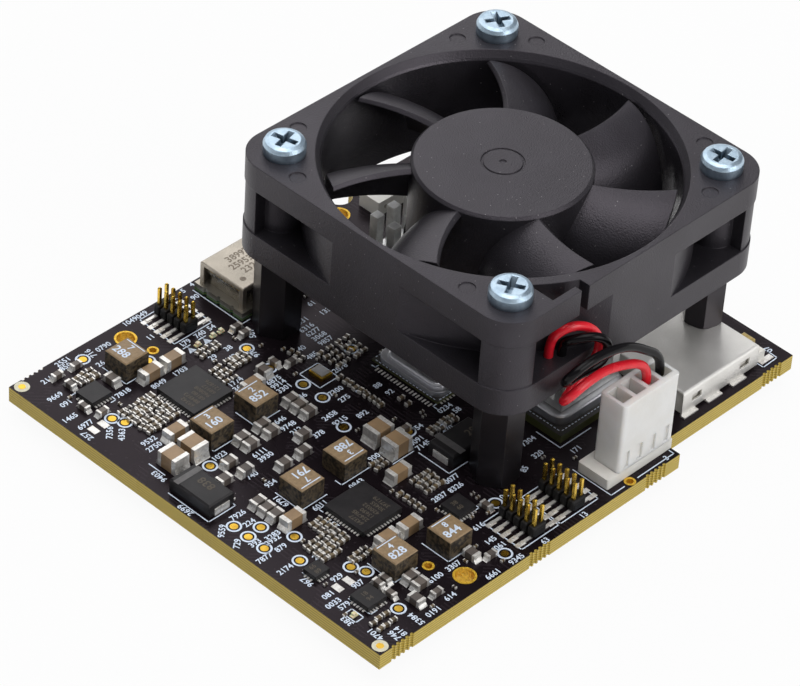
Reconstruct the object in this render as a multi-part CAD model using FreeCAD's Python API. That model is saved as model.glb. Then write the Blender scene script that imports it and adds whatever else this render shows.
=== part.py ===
import FreeCAD, Part
import math
import os

# Circuit board. Every place below is measured from its front left corner and its top face
board_right_margin = 2.0
board_back_margin = 9.2
board_thickness = 2.4
step_length = 26.35
step_depth = 3.1
bite_radius = 0.27
bite_pitch = 0.8
bite_count = 5
bite_row_starts = [2.4, 27.2, 49.2]
bite_row_inset_at_step = 5.8
edge_notch_radius = 1.9
edge_notch_x = 60.9

# Plated mounting holes and small plated eyelets
mounting_hole_radius = 1.35
plating_thickness = 0.1
land_width = 0.2
land_thickness = 0.05
mounting_hole_x = 18.0
mounting_hole_inset = 2.9
mounting_hole_pitch_x = 40.0
eyelet_radius = 0.6
eyelet_places = [(19.0, 60.8), (15.9, 7.2), (46.6, 0.82)]

# Fan
fan_place = (54.8, 33.7)
fan_size = 50.0
fan_thickness = 15.0
fan_hole_pitch = 40.0
fan_hole_radius = 2.15
flange_thickness = 4.0
post_reach = 5.0
post_inset = 0.15
post_boss_radius = 3.0
bore_edge_wall = 1.5
bore_lip_reach = 0.8
bore_lip_depth = 1.3
duct_wall = 2.2
strut_angles = [48.0, 162.0, 238.0, 314.0]
strut_width = 2.2
motor_base_rim = 0.2
motor_base_thickness = 1.8
wire_pocket_length = 5.6
wire_pocket_start = 10.8
wire_slot_width = 1.5
finger_width = 1.1
mould_mark_radius = 1.1
mould_mark_depth = 0.15
mould_mark_along = 15.0
mould_mark_across = 22.5

# Fan rotor and motor
hub_radius = 12.0
hub_wall = 1.0
hub_top_gap = 0.3
hub_top_thickness = 1.2
hub_bottom_gap = 1.4
hub_edge_bevel = 0.4
blade_count = 7
blade_tip_gap = 0.7
blade_tip_excess = 1.2
blade_lead_angle = -1.5
blade_sweep = 8.0
hub_boss_height = 2.0
hub_ring_radius = 2.9
hub_ring_width = 0.3
hub_mark_depth = 0.15
hub_dimple_radius = 0.45
magnet_gap = 0.6
shaft_end_gap = 0.3
blade_root_chord_angle = 36.0
blade_tip_chord_angle = 24.0
blade_top_gap = 1.0
blade_height = 9.0
blade_root_thickness = 0.85
blade_tip_thickness = 0.6
blade_root_camber = 1.9
blade_tip_camber = 2.4
blade_root_inset = 0.9
blade_middle_setback = 1.5
magnet_thickness = 1.0
shaft_radius = 1.0
running_clearance = 0.05
bearing_radius = 2.3
bearing_length = 6.5
bearing_cup_wall = 0.8
motor_board_thickness = 0.8
stator_gap = 1.1
stator_thickness = 3.6
stator_pole_count = 4
stator_neck_width = 2.4
stator_ring_wall = 1.4
stator_shoe_wall = 1.2
stator_shoe_gap = 1.6
stator_clearance = 0.2
coil_thickness = 1.3
coil_length = 2.2
coil_gap = 0.2

# Screws and standoffs of three millimetre thread
thread_radius = 1.5
thread_clearance = 0.04
screw_hole_radius = 1.65
screw_head_radius = 2.85
screw_head_height = 2.1
screw_head_rim = 1.4
screw_shoulder_inset = 0.25
screw_shoulder_rise = 0.15
screw_crown_radius = 2.1
screw_tip_bevel = 0.3
recess_length = 3.6
recess_width = 0.85
recess_depth = 1.2
recess_end_slope = 0.9
recess_side_slope = 0.1
fan_screw_length = 20.0
board_screw_length = 6.4
standoff_height = 14.0
standoff_flats = 5.8
standoff_end_bevel = 0.3
short_standoff_flats = 5.0
standoff_turns = {(-1, -1): -1.0, (-1, 1): 1.0, (1, 1): 35.0}
short_standoff_turn = 45.0
screw_turns = {(-1, -1): 28.0, (-1, 1): 15.0, (1, 1): 62.0, (1, -1): 8.0}

# Two lidded processors, each under a pin fin heatsink
processor_places = {"front": (53.0, 19.5), "back": (57.5, 48.2)}
processor_size = 15.2
processor_height = 1.2
lid_size = 13.0
lid_height = 1.4
lid_corner_radius = 1.9
lid_edge_round = 0.35
heatsink_size = 11.0
heatsink_base = 1.2
heatsink_height = 7.0
pin_width = 1.35
pin_rows = 4
thermal_pad_thickness = 0.2

# Lidded transceiver under the fan
transceiver_place = (45.1, 34.0)
transceiver_size = 12.0
transceiver_base = 0.35
transceiver_lid_size = 11.4
transceiver_lid_height = 1.35
transceiver_corner_radius = 1.6
transceiver_step = 0.7
transceiver_foot_height = 0.75

# Shield can with its moulded insulator, beside the front processor and behind the board's step
shield_gap = 0.4
shield_front_gap = 1.6
shield_length = 15.2
shield_width = 15.5
shield_height = 4.0
shield_sheet = 0.25
shield_lift = 0.5
shield_foot_length = 2.8
shield_foot_reach = 0.8
shield_foot_count = 3
shield_foot_pitch = 4.85
shield_slot_inset = 2.8
shield_slot_length = 1.9
shield_slot_height = 1.1
shield_slot_sill = 1.2
shield_edge_round = 0.4
insulator_gap = 0.35
insulator_nose_reach = 2.2
insulator_nose_width = 3.4
insulator_nose_height = 1.5
contact_size = (1.1, 2.0, 1.4)

# Fan connector: header on the board and crimp housing pushed onto it
plug_pitch = 2.54
plug_ways = 4
plug_front = 1.62
header_length = 12.4
header_base_height = 1.6
header_corner_round = 0.25
header_left = 43.1
housing_length = 10.5
housing_depth = 4.4
housing_top = 12.8
housing_corner_round = 0.5
slot_width = 1.9
slot_depth = 2.7
slot_front_wall = 0.93
slot_floor = 8.6
cavity_width = 1.15
cavity_depth = 2.15
housing_window_width = 0.9
housing_window_height = 2.7
housing_window_sill = 0.35
housing_window_depth = 0.3
lock_wall_height = 9.8
lock_wall_thickness = 0.75
lock_wall_gap = 0.05
lock_wall_inset = 2.0
header_pin_width = 0.64
header_pin_top = 7.6
header_pin_tail = 1.6
header_pin_hole_radius = 0.55
crimp_wall = 0.15
crimp_lift = 1.0

# Fan wires: points chosen along each real route as x, distance ahead of the fan's front face and height
wire_diameter = 1.25
wire_arc_share = 0.45
wire_end_height = 12.0
red_wire_way = 2
red_wire_drop_height = 14.1
red_route = [(40.4, -2.6, 18.0), (40.4, -2.6, 19.9), (40.3, -1.6, 22.3), (42.2, -0.6, 23.2),
             (44.6, 0.2, 22.2), (46.1, 0.8, 20.0), (46.1, 0.9, 18.0), (45.1, 0.9, 16.5),
             (43.3, 0.9, 15.5), (41.4, 1.2, 14.8), (39.6, 1.7, 14.4), (38.5, 2.1, 14.5),
             (37.9, 2.7, 15.3), (38.1, 3.4, 16.2), (39.4, 3.8, 17.2), (41.4, 3.9, 17.6),
             (44.2, 3.9, 17.6), (47.3, 4.1, 16.8), (49.9, 4.5, 15.9)]
black_wire_way = 3
black_wire_drop_height = 13.6
black_route = [(41.9, -1.7, 18.0), (41.9, -1.7, 19.5), (41.3, -0.7, 21.1), (42.5, 0.6, 21.7),
               (43.9, 1.7, 21.9), (45.3, 2.4, 21.1), (46.0, 2.7, 19.4), (45.3, 2.6, 18.0),
               (43.1, 2.4, 17.8), (40.9, 2.3, 17.8), (38.9, 2.4, 17.9), (37.8, 2.6, 18.2),
               (37.3, 3.1, 19.1), (37.6, 3.6, 20.0), (39.2, 4.0, 20.9), (41.7, 4.2, 21.3),
               (45.0, 4.3, 20.8), (48.4, 4.3, 19.4), (51.2, 4.5, 17.3), (53.3, 4.7, 15.6)]

# Pin headers of fine pitch, each of two rows soldered to the board's face
strip_pitch = 1.27
strip_ways = 5
strip_places = {"front_left": (30.35, 4.7), "front_right": (37.75, 4.7), "back": (25.4, 63.2)}
strip_body_width = 3.4
strip_body_height = 1.9
strip_body_chamfer = 0.25
strip_end_margin = 0.05
strip_pin_width = 0.42
strip_pin_top = 4.6
strip_pin_bevel = 0.12
strip_foot_reach = 3.0
strip_foot_thickness = 0.2

# Oscillator module: substrate, inner board and open metal cover
oscillator_left = 31.95
oscillator_front = 57.3
oscillator_length = 14.2
oscillator_width = 9.2
oscillator_lift = 0.2
oscillator_base = 1.05
oscillator_cover_inset = 0.5
oscillator_cover_height = 3.6
oscillator_cover_sheet = 0.2
oscillator_window_drop = 0.6
oscillator_leg_width = 0.7
oscillator_cover_round = 0.25
oscillator_scallop_radius = 0.3
oscillator_scallop_count = 3
oscillator_scallop_pitch = 2.54
oscillator_core_inset = 1.1
oscillator_block_height = 1.7
oscillator_block_setback = 1.4
oscillator_shelf_thickness = 0.5
oscillator_post_thickness = 0.5
oscillator_post_setback = 0.2
oscillator_post_inset = 0.6
oscillator_bump_size = (0.55, 0.8, 0.3)
oscillator_bump_count = 5
oscillator_bump_pitch = 1.3
oscillator_bump_inset = 0.3

# Chip parts, each with its size as length, width and height
inductor_size = (4.05, 4.05, 3.0)
inductor_bevel = 0.15
inductor_places = [(12.8, 43.15), (20.7, 43.1), (13.95, 60.45), (13.55, 27.45), (21.3, 27.45),
                   (12.65, 10.0), (20.55, 8.15)]
tall_capacitor_size = (3.2, 2.5, 2.3)
tall_capacitor_places = [(5.25, 42.3, 90), (8.65, 42.3, 90), (28.5, 28.45, 0), (28.5, 25.15, 0)]
tan_capacitor_size = (3.2, 1.6, 1.6)
tan_capacitor_places = [(15.0, 57.0, 0), (18.9, 57.0, 0), (9.3, 46.2, 0), (8.8, 24.2, 0),
                        (15.0, 13.6, 0), (18.8, 13.4, 0), (25.0, 21.4, 0), (23.1, 46.2, 0)]
grey_capacitor_size = (2.0, 1.25, 1.05)
grey_capacitor_places = [(10.6, 37.6, 0), (7.8, 35.6, 0), (15.1, 39.9, 0), (15.1, 38.3, 0),
                         (18.8, 40.0, 0), (18.8, 38.3, 0), (25.1, 41.1, 0), (25.1, 39.5, 0),
                         (25.1, 37.8, 0), (11.1, 35.1, 0), (21.4, 35.1, 0), (8.0, 29.6, 0),
                         (8.0, 28.0, 0), (8.0, 26.4, 0), (15.6, 32.7, 0), (19.1, 32.7, 0),
                         (12.4, 6.9, 0), (12.4, 5.3, 0), (10.0, 3.6, 90), (21.1, 4.7, 90),
                         (10.6, 59.6, 90), (26.6, 47.6, 90)]
small_capacitor_size = (1.6, 0.8, 0.8)
small_capacitor_places = [(5.9, 62.5, 90), (9.1, 65.0, 0), (4.3, 58.1, 90), (5.4, 55.8, 0),
                          (30.2, 56.6, 0), (8.5, 6.6, 90), (9.9, 8.9, 90), (8.7, 8.9, 90),
                          (12.9, 2.9, 0), (22.9, 3.1, 0), (5.9, 65.1, 0), (28.9, 48.0, 90),
                          (30.6, 46.6, 0), (32.1, 27.1, 0), (30.2, 55.0, 0), (29.2, 9.8, 90)]
cap_end_share = 0.2
cap_end_proud = 0.03

# Banks of the smallest chip parts: first x and y, columns, rows, pitch across and along
tiny_part_size = (1.0, 0.5, 0.45)
tiny_banks = [(7.4, 48.9, 3, 8, 1.15, 0.76), (11.0, 49.0, 2, 8, 1.2, 0.78), (21.7, 49.5, 2, 4, 1.25, 0.95),
              (24.6, 50.9, 3, 3, 1.15, 0.8), (22.9, 55.4, 3, 2, 1.4, 0.9), (7.0, 16.6, 3, 5, 1.15, 0.8),
              (10.5, 17.4, 2, 7, 1.2, 0.82), (25.9, 16.8, 3, 4, 1.15, 0.9), (22.7, 14.9, 1, 5, 1.0, 1.0),
              (7.4, 61.7, 3, 3, 1.15, 0.75), (33.4, 32.6, 1, 9, 1.0, 0.95), (34.9, 42.0, 4, 4, 1.6, 1.15),
              (34.6, 24.2, 4, 2, 1.3, 0.85), (9.7, 13.8, 3, 2, 1.15, 0.8), (3.2, 3.2, 3, 2, 1.2, 1.3),
              (32.3, 46.2, 1, 3, 1.0, 1.1), (36.2, 30.6, 1, 2, 1.0, 1.3), (24.2, 24.3, 2, 2, 1.3, 0.85)]

# Quad flat chips: centre, side along x, side along y and contacts along each side
flat_chip_height = 0.85
flat_chip_pitch = 0.5
flat_chips = {"large": [(17.0, 50.7, 7.0, 7.0, 12, 12), (17.1, 19.9, 7.0, 7.0, 12, 12)],
              "small": [(6.9, 59.1, 3.4, 3.2, 6, 5), (4.6, 15.7, 2.5, 2.2, 4, 3),
                        (5.9, 7.9, 3.3, 3.2, 6, 5), (26.3, 12.0, 3.2, 3.2, 6, 5)]}
flat_contact_width = 0.26
flat_contact_reach = 0.4
flat_contact_height = 0.12

# Moulded tantalum capacitors: centre of the body and its turn
tantalum_size = (7.3, 4.3, 2.0)
tantalum_bevel = 0.2
tantalum_places = [(3.85, 35.6, 90), (35.1, 20.05, 0)]
tantalum_tab_width = 2.6
tantalum_tab_thickness = 0.15
tantalum_tab_height = 1.1
tantalum_tab_foot = 1.2

# Lamps and the timing crystal
lamp_base_size = (1.0, 0.6, 0.2)
lamp_lens_size = (0.55, 0.48, 0.36)
lamp_places = [(24.1, 57.6), (26.9, 57.6), (28.3, 57.6), (2.6, 7.1)]
crystal_place = (32.0, 42.5)
crystal_size = (2.0, 2.5, 0.5)
crystal_lid_inset = 0.22
crystal_lid_height = 0.22

# White block seen through the fan at the back edge
edge_block_place = (64.4, 62.9)
edge_block_size = (5.6, 3.8, 2.4)
edge_block_hole_radius = 0.35
edge_block_hole_depth = 0.8
edge_block_hole_offset = 1.4
edge_block_corner_round = 0.2

fan_center_x, fan_center_y = fan_place
fan_bottom = standoff_height
fan_top = fan_bottom + fan_thickness
fan_hole_reach = fan_hole_pitch / 2
fan_corner_radius = fan_size / 2 - fan_hole_reach
fan_front = fan_center_y - fan_size / 2
bore_radius = fan_size / 2 - bore_edge_wall
duct_radius = bore_radius + duct_wall
blade_tip_radius = bore_radius - blade_tip_gap
stator_radius = hub_radius - hub_wall - magnet_thickness - stator_gap
board_length = fan_center_x + fan_size / 2 + board_right_margin
board_width = fan_center_y + fan_size / 2 + board_back_margin
front_row_y = step_depth + shield_front_gap
shield_left = processor_places["front"][0] + processor_size / 2 + shield_gap
header_depth = housing_depth + lock_wall_gap + lock_wall_thickness
housing_right = header_left + header_length
housing_left = housing_right - housing_length
plug_center_x = (housing_left + housing_right) / 2
plug_slot_center_y = plug_front + slot_front_wall + slot_depth / 2
mounting_hole_places = [(mounting_hole_x, mounting_hole_inset),
                        (mounting_hole_x, board_width - mounting_hole_inset),
                        (mounting_hole_x + mounting_hole_pitch_x, board_width - mounting_hole_inset)]
fan_corners = [(-1, -1), (-1, 1), (1, 1), (1, -1)]


def vec(x, y, z=0.0):
    return FreeCAD.Vector(x, y, z)


def box(length, width, height, x, y, z):
    """Box with its middle at x and y and its underside at z."""
    return Part.makeBox(length, width, height, vec(x - length / 2, y - width / 2, z))


def rod(radius, height, x, y, z):
    return Part.makeCylinder(radius, height, vec(x, y, z))


def tube(outer, inner, height, x, y, z):
    return rod(outer, height, x, y, z).cut(rod(inner, height, x, y, z))


def joined(shapes):
    """One solid from pieces that meet, without leftover seams."""
    return shapes[0].fuse(shapes[1:]).removeSplitter()


def rounded_plate(size, corner, height, x, y, z):
    plate = box(size, size, height, x, y, z)
    corners = [edge for edge in plate.Edges if is_upright(edge)]
    return plate.makeFillet(corner, corners)


def is_upright(edge):
    ends = edge.BoundBox
    return ends.ZLength > 0.01 and ends.XLength < 0.01 and ends.YLength < 0.01


def edges_at_height(shape, z):
    return [edge for edge in shape.Edges
            if edge.BoundBox.ZLength < 0.001 and abs(edge.BoundBox.ZMin - z) < 0.001]


def turned(shape, angle, x, y):
    shape.rotate(vec(x, y), vec(0, 0, 1), angle)
    return shape


def fan_corner(corner):
    return fan_center_x + corner[0] * fan_hole_reach, fan_center_y + corner[1] * fan_hole_reach


def row_offset(index, count, pitch):
    return (index - (count - 1) / 2) * pitch


def save(node, shapes):
    """Write one node, moved so that the origin is below the board's middle, level with the screw heads."""
    group = shapes if isinstance(shapes, list) else [shapes]
    shape = group[0] if len(group) == 1 else Part.makeCompound(group)
    shape = shape.copy()
    shape.translate(vec(-board_length / 2, -board_width / 2, board_thickness + screw_head_height))
    shape.exportStep("parts/" + node + ".step")


def circuit_board():
    outline = Part.makePolygon([vec(0, 0), vec(board_length - step_length, 0),
                                vec(board_length - step_length, step_depth), vec(board_length, step_depth),
                                vec(board_length, board_width), vec(0, board_width), vec(0, 0)])
    board = Part.Face(outline).extrude(vec(0, 0, -board_thickness))
    cuts = edge_bites()
    cuts.append(through_hole(edge_notch_radius, edge_notch_x, board_width))
    cuts += [through_hole(mounting_hole_radius, x, y) for x, y in mounting_hole_places]
    cuts += [through_hole(eyelet_radius, x, y) for x, y in eyelet_places]
    cuts += [through_hole(screw_hole_radius, *fan_corner(corner)) for corner in fan_corners]
    for way in range(plug_ways):
        x = plug_center_x + row_offset(way, plug_ways, plug_pitch)
        cuts.append(through_hole(header_pin_hole_radius, x, plug_slot_center_y))
    return board.cut(Part.makeCompound(cuts))


def through_hole(radius, x, y):
    return rod(radius, 3 * board_thickness, x, y, -2 * board_thickness)


def edge_bites():
    """Rows of half round bites where the board was broken out of its panel."""
    rows = [(start, 0.0) for start in bite_row_starts]
    rows.append((board_length - bite_row_inset_at_step, step_depth))
    rows.append((bite_row_starts[0], board_width))
    return [through_hole(bite_radius, start + step * bite_pitch, y)
            for start, y in rows for step in range(bite_count)]


def plated_liner(radius, x, y):
    """Plated barrel with a thin land on both faces of the board, as one turned ring."""
    inner = radius - plating_thickness
    outer = radius + land_width
    low = -board_thickness - land_thickness
    profile = Part.makePolygon([vec(inner, 0, low), vec(outer, 0, low), vec(outer, 0, -board_thickness),
                                vec(radius, 0, -board_thickness), vec(radius, 0, 0), vec(outer, 0, 0),
                                vec(outer, 0, land_thickness), vec(inner, 0, land_thickness),
                                vec(inner, 0, low)])
    liner = Part.Face(profile).revolve(vec(0, 0), vec(0, 0, 1), 360)
    liner.translate(vec(x, y))
    return liner


def fan_frame():
    """Moulded frame: two flanges, four corner posts, a round duct between them and the motor mount."""
    upper = rounded_plate(fan_size, fan_corner_radius, flange_thickness, fan_center_x, fan_center_y,
                          fan_top - flange_thickness)
    lower = rounded_plate(fan_size, fan_corner_radius, flange_thickness, fan_center_x, fan_center_y,
                          fan_bottom)
    outline = rounded_plate(fan_size, fan_corner_radius, fan_thickness, fan_center_x, fan_center_y,
                            fan_bottom)
    duct = rod(duct_radius, fan_thickness, fan_center_x, fan_center_y, fan_bottom).common(outline)
    body = joined([upper, lower, duct] + [corner_post(corner) for corner in fan_corners])
    cuts = [rod(bore_radius, fan_thickness, fan_center_x, fan_center_y, fan_bottom)]
    cuts += [bore_lip(), wire_pocket()]
    cuts += [rod(fan_hole_radius, fan_thickness, *fan_corner(corner), fan_bottom) for corner in fan_corners]
    cuts += mould_marks()
    body = body.cut(Part.makeCompound(cuts))
    return joined([body, motor_mount()])


def corner_post(corner):
    """Corner of the outline, set in a little from the flanges, with a boss round the screw hole."""
    inner = rounded_plate(fan_size - 2 * post_inset, fan_corner_radius - post_inset, fan_thickness,
                          fan_center_x, fan_center_y, fan_bottom)
    edge = box(2 * post_reach, 2 * post_reach, fan_thickness, fan_center_x + corner[0] * fan_size / 2,
               fan_center_y + corner[1] * fan_size / 2, fan_bottom)
    return joined([edge.common(inner), rod(post_boss_radius, fan_thickness, *fan_corner(corner), fan_bottom)])


def bore_lip():
    return Part.makeCone(bore_radius, bore_radius + bore_lip_reach, bore_lip_depth,
                         vec(fan_center_x, fan_center_y, fan_top - bore_lip_depth))


def wire_pocket():
    """Pocket between the duct and the front edge of the upper flange, with its slot out to the side."""
    right = fan_center_x - wire_pocket_start
    left = right - wire_pocket_length
    low = fan_top - flange_thickness
    reach = fan_size / 2 - finger_width
    pocket = Part.makeBox(right - left, reach, flange_thickness, vec(left, fan_front + finger_width, low))
    pocket = pocket.cut(rod(duct_radius, flange_thickness, fan_center_x, fan_center_y, low))
    pocket = pocket.common(box(fan_size, fan_size, flange_thickness, fan_center_x - fan_size / 2,
                               fan_center_y - fan_size / 2, low))
    slot = Part.makeBox(wire_slot_width, 2 * finger_width, flange_thickness,
                        vec(right - wire_slot_width, fan_front - finger_width / 2, low))
    return pocket.fuse(slot)


def mould_marks():
    marks = []
    for side_a in (-1, 1):
        for side_b in (-1, 1):
            for along, across in ((mould_mark_along, mould_mark_across),
                                  (mould_mark_across, mould_mark_along)):
                marks.append(rod(mould_mark_radius, mould_mark_depth, fan_center_x + side_a * along,
                                 fan_center_y + side_b * across, fan_top - mould_mark_depth))
    return marks


def motor_mount():
    """Base disc with the bearing cup, carried on four struts across the outlet."""
    base = rod(hub_radius + motor_base_rim, motor_base_thickness, fan_center_x, fan_center_y, fan_bottom)
    cup = rod(bearing_radius + bearing_cup_wall, bearing_length, fan_center_x, fan_center_y,
              fan_bottom + motor_base_thickness)
    reach = bore_radius + (duct_radius - bore_radius) / 2
    struts = []
    for angle in strut_angles:
        strut = Part.makeBox(reach, strut_width, motor_base_thickness,
                             vec(fan_center_x, fan_center_y - strut_width / 2, fan_bottom))
        struts.append(turned(strut, angle, fan_center_x, fan_center_y))
    mount = joined([base, cup] + struts)
    return mount.cut(rod(bearing_radius, bearing_length, fan_center_x, fan_center_y,
                         fan_bottom + motor_base_thickness))


def blade_section(radius, lead_angle, chord_angle, thickness, camber):
    """Thin curved section, flat in the plane square to the radius at the middle of its chord."""
    middle = math.radians(lead_angle - chord_angle / 2)
    along = vec(-math.sin(middle), math.cos(middle))
    center = vec(fan_center_x + radius * math.cos(middle), fan_center_y + radius * math.sin(middle),
                 fan_top - blade_top_gap - blade_height / 2)
    half_chord = radius * math.radians(chord_angle) / 2
    lead = center + along * half_chord + vec(0, 0, blade_height / 2)
    trail = center - along * half_chord - vec(0, 0, blade_height / 2)
    across = (lead - trail).normalize().cross(vec(math.cos(middle), math.sin(middle)))
    across = across if across.z > 0 else across * -1
    half = across * (thickness / 2)
    bow = across * camber
    upper = Part.Arc(trail + half, center + bow + half, lead + half)
    lower = Part.Arc(lead - half, center + bow - half, trail - half)
    return Part.Wire([upper.toShape(), Part.makeLine(lead + half, lead - half), lower.toShape(),
                      Part.makeLine(trail - half, trail + half)])


def blade(index):
    turn = blade_lead_angle + index * 360 / blade_count
    root_radius = hub_radius - blade_root_inset
    middle_radius = (hub_radius + blade_tip_radius) / 2
    end_radius = blade_tip_radius + blade_tip_excess
    root = blade_section(root_radius, turn - blade_sweep, blade_root_chord_angle, blade_root_thickness,
                         blade_root_camber)
    middle = blade_section(middle_radius, turn - blade_sweep / 2 - blade_middle_setback,
                           (blade_root_chord_angle + blade_tip_chord_angle) / 2 - blade_middle_setback,
                           (blade_root_thickness + blade_tip_thickness) / 2,
                           (blade_root_camber + blade_tip_camber) / 2)
    tip = blade_section(end_radius, turn, blade_tip_chord_angle, blade_tip_thickness, blade_tip_camber)
    shape = Part.makeLoft([root, middle, tip], True)
    return shape.common(rod(blade_tip_radius, 2 * fan_thickness, fan_center_x, fan_center_y, fan_bottom))


def fan_rotor():
    """Moulded impeller: a hub cup and swept blades lofted from root to tip."""
    low = fan_bottom + motor_base_thickness + hub_bottom_gap
    height = fan_top - hub_top_gap - low
    hub = rod(hub_radius, height, fan_center_x, fan_center_y, low)
    hub = hub.makeChamfer(hub_edge_bevel, edges_at_height(hub, low + height))
    hollow_height = height - hub_top_thickness
    hollow = rod(hub_radius - hub_wall, hollow_height, fan_center_x, fan_center_y, low)
    rotor = joined([hub] + [blade(index) for index in range(blade_count)]).cut(hollow)
    mark_low = low + height - hub_mark_depth
    ring = tube(hub_ring_radius, hub_ring_radius - hub_ring_width, hub_mark_depth, fan_center_x, fan_center_y,
                mark_low)
    dimple = rod(hub_dimple_radius, hub_mark_depth, fan_center_x, fan_center_y, mark_low)
    rotor = rotor.cut(ring).cut(dimple)
    boss = tube(2 * shaft_radius, shaft_radius, hub_boss_height, fan_center_x, fan_center_y,
                low + hollow_height - hub_boss_height)
    return joined([rotor, boss])


def magnet_ring():
    low = fan_bottom + motor_base_thickness + hub_bottom_gap + magnet_gap
    height = 2 * stator_thickness
    outer = hub_radius - hub_wall
    return tube(outer, outer - magnet_thickness, height, fan_center_x, fan_center_y, low)


def fan_shaft():
    low = fan_bottom + motor_base_thickness + shaft_end_gap
    top = fan_top - hub_top_gap - hub_top_thickness
    return rod(shaft_radius, top - low, fan_center_x, fan_center_y, low)


def bearing_sleeve():
    low = fan_bottom + motor_base_thickness
    sleeve = rod(bearing_radius, bearing_length, fan_center_x, fan_center_y, low)
    return sleeve.cut(rod(shaft_radius + running_clearance, bearing_length, fan_center_x, fan_center_y,
                          low + shaft_end_gap / 2))


def motor_board():
    cup_radius = bearing_radius + bearing_cup_wall
    return tube(hub_radius - hub_wall, cup_radius, motor_board_thickness, fan_center_x, fan_center_y,
                fan_bottom + motor_base_thickness)


def stator_core():
    """Iron core with a ring round the bearing cup and four poles that end in curved shoes."""
    low = stator_bottom()
    cup_radius = bearing_radius + bearing_cup_wall
    ring = rod(cup_radius + stator_ring_wall, stator_thickness, fan_center_x, fan_center_y, low)
    shoes = tube(stator_radius, stator_radius - stator_shoe_wall, stator_thickness,
                 fan_center_x, fan_center_y, low)
    gaps = []
    necks = []
    for pole in range(stator_pole_count):
        angle = pole * 360 / stator_pole_count
        neck = Part.makeBox(stator_radius - stator_shoe_wall / 2, stator_neck_width, stator_thickness,
                            vec(fan_center_x, fan_center_y - stator_neck_width / 2, low))
        gap = Part.makeBox(2 * stator_radius, stator_shoe_gap, stator_thickness,
                           vec(fan_center_x, fan_center_y - stator_shoe_gap / 2, low))
        necks.append(turned(neck, angle, fan_center_x, fan_center_y))
        gaps.append(turned(gap, angle + 180 / stator_pole_count, fan_center_x, fan_center_y))
    core = joined([ring, shoes.cut(Part.makeCompound(gaps))] + necks)
    return core.cut(rod(cup_radius, stator_thickness, fan_center_x, fan_center_y, low))


def stator_bottom():
    return fan_bottom + motor_base_thickness + motor_board_thickness + coil_thickness + stator_clearance


def stator_coils():
    coils = []
    outer_width = stator_neck_width + 2 * coil_thickness
    outer_height = stator_thickness + 2 * coil_thickness
    inner_radius = bearing_radius + bearing_cup_wall + stator_ring_wall + coil_gap
    for pole in range(stator_pole_count):
        middle = fan_center_x + inner_radius + coil_length / 2
        coil = box(coil_length, outer_width, outer_height, middle, fan_center_y,
                   stator_bottom() - coil_thickness)
        coil = coil.cut(box(coil_length, stator_neck_width, stator_thickness, middle, fan_center_y,
                            stator_bottom()))
        coils.append(turned(coil, pole * 360 / stator_pole_count, fan_center_x, fan_center_y))
    return coils


def pan_head_screw(length, x, y, top, turn):
    """Screw with a rounded pan head, a cross recess and its shank pointing down from the height top."""
    shank = thread_radius - thread_clearance
    shoulder_height = (screw_head_rim + screw_head_height) / 2 + screw_shoulder_rise
    profile = Part.makePolygon([vec(0, 0, -length), vec(shank - screw_tip_bevel, 0, -length),
                                vec(shank, 0, screw_tip_bevel - length), vec(shank, 0, 0),
                                vec(screw_head_radius, 0, 0), vec(screw_head_radius, 0, screw_head_rim),
                                vec(screw_head_radius - screw_shoulder_inset, 0, shoulder_height),
                                vec(screw_crown_radius, 0, screw_head_height), vec(0, 0, screw_head_height),
                                vec(0, 0, -length)])
    screw = Part.Face(profile).revolve(vec(0, 0), vec(0, 0, 1), 360)
    low = screw_head_height - recess_depth
    recess = joined([recess_wing(low), turned(recess_wing(low), 90, 0, 0)])
    screw = screw.cut(recess)
    screw.translate(vec(x, y, top))
    return turned(screw, turn, x, y)


def recess_wing(low):
    """One wing of the cross recess, narrower and shorter at its floor."""
    floor = recess_outline(recess_length - 2 * recess_end_slope, recess_width - 2 * recess_side_slope, low)
    top = recess_outline(recess_length + 2 * recess_end_slope, recess_width + 2 * recess_side_slope,
                         low + 2 * recess_depth)
    return Part.makeLoft([floor, top], True, True)


def recess_outline(length, width, z):
    return Part.makePolygon([vec(-length / 2, -width / 2, z), vec(length / 2, -width / 2, z),
                             vec(length / 2, width / 2, z), vec(-length / 2, width / 2, z),
                             vec(-length / 2, -width / 2, z)])


def flipped_screw(length, x, y, seat, turn):
    """The same screw with its head below the height seat and its shank pointing up."""
    screw = pan_head_screw(length, x, y, seat, turn)
    screw.rotate(vec(x, y, seat), vec(1, 0, 0), 180)
    return screw


def standoff(flats, height, x, y, low, turn):
    """Hexagonal spacer with lightly bevelled ends and a threaded bore right through."""
    reach = flats / math.sqrt(3)
    corners = [vec(x + reach * math.cos(math.radians(turn + 60 * side)),
                   y + reach * math.sin(math.radians(turn + 60 * side)), low) for side in range(7)]
    prism = Part.Face(Part.makePolygon(corners)).extrude(vec(0, 0, height))
    rounded = rod(reach, height, x, y, low)
    ends = edges_at_height(rounded, low) + edges_at_height(rounded, low + height)
    rounded = rounded.makeChamfer(standoff_end_bevel, ends)
    return prism.common(rounded).cut(rod(thread_radius, height, x, y, low))


def processor_substrate(place):
    return box(processor_size, processor_size, processor_height, *place, 0)


def processor_lid(place):
    lid = rounded_plate(lid_size, lid_corner_radius, lid_height, *place, processor_height)
    return lid.makeFillet(lid_edge_round, edges_at_height(lid, processor_height + lid_height))


def thermal_pad(place):
    return box(heatsink_size, heatsink_size, thermal_pad_thickness, *place, processor_height + lid_height)


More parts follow.
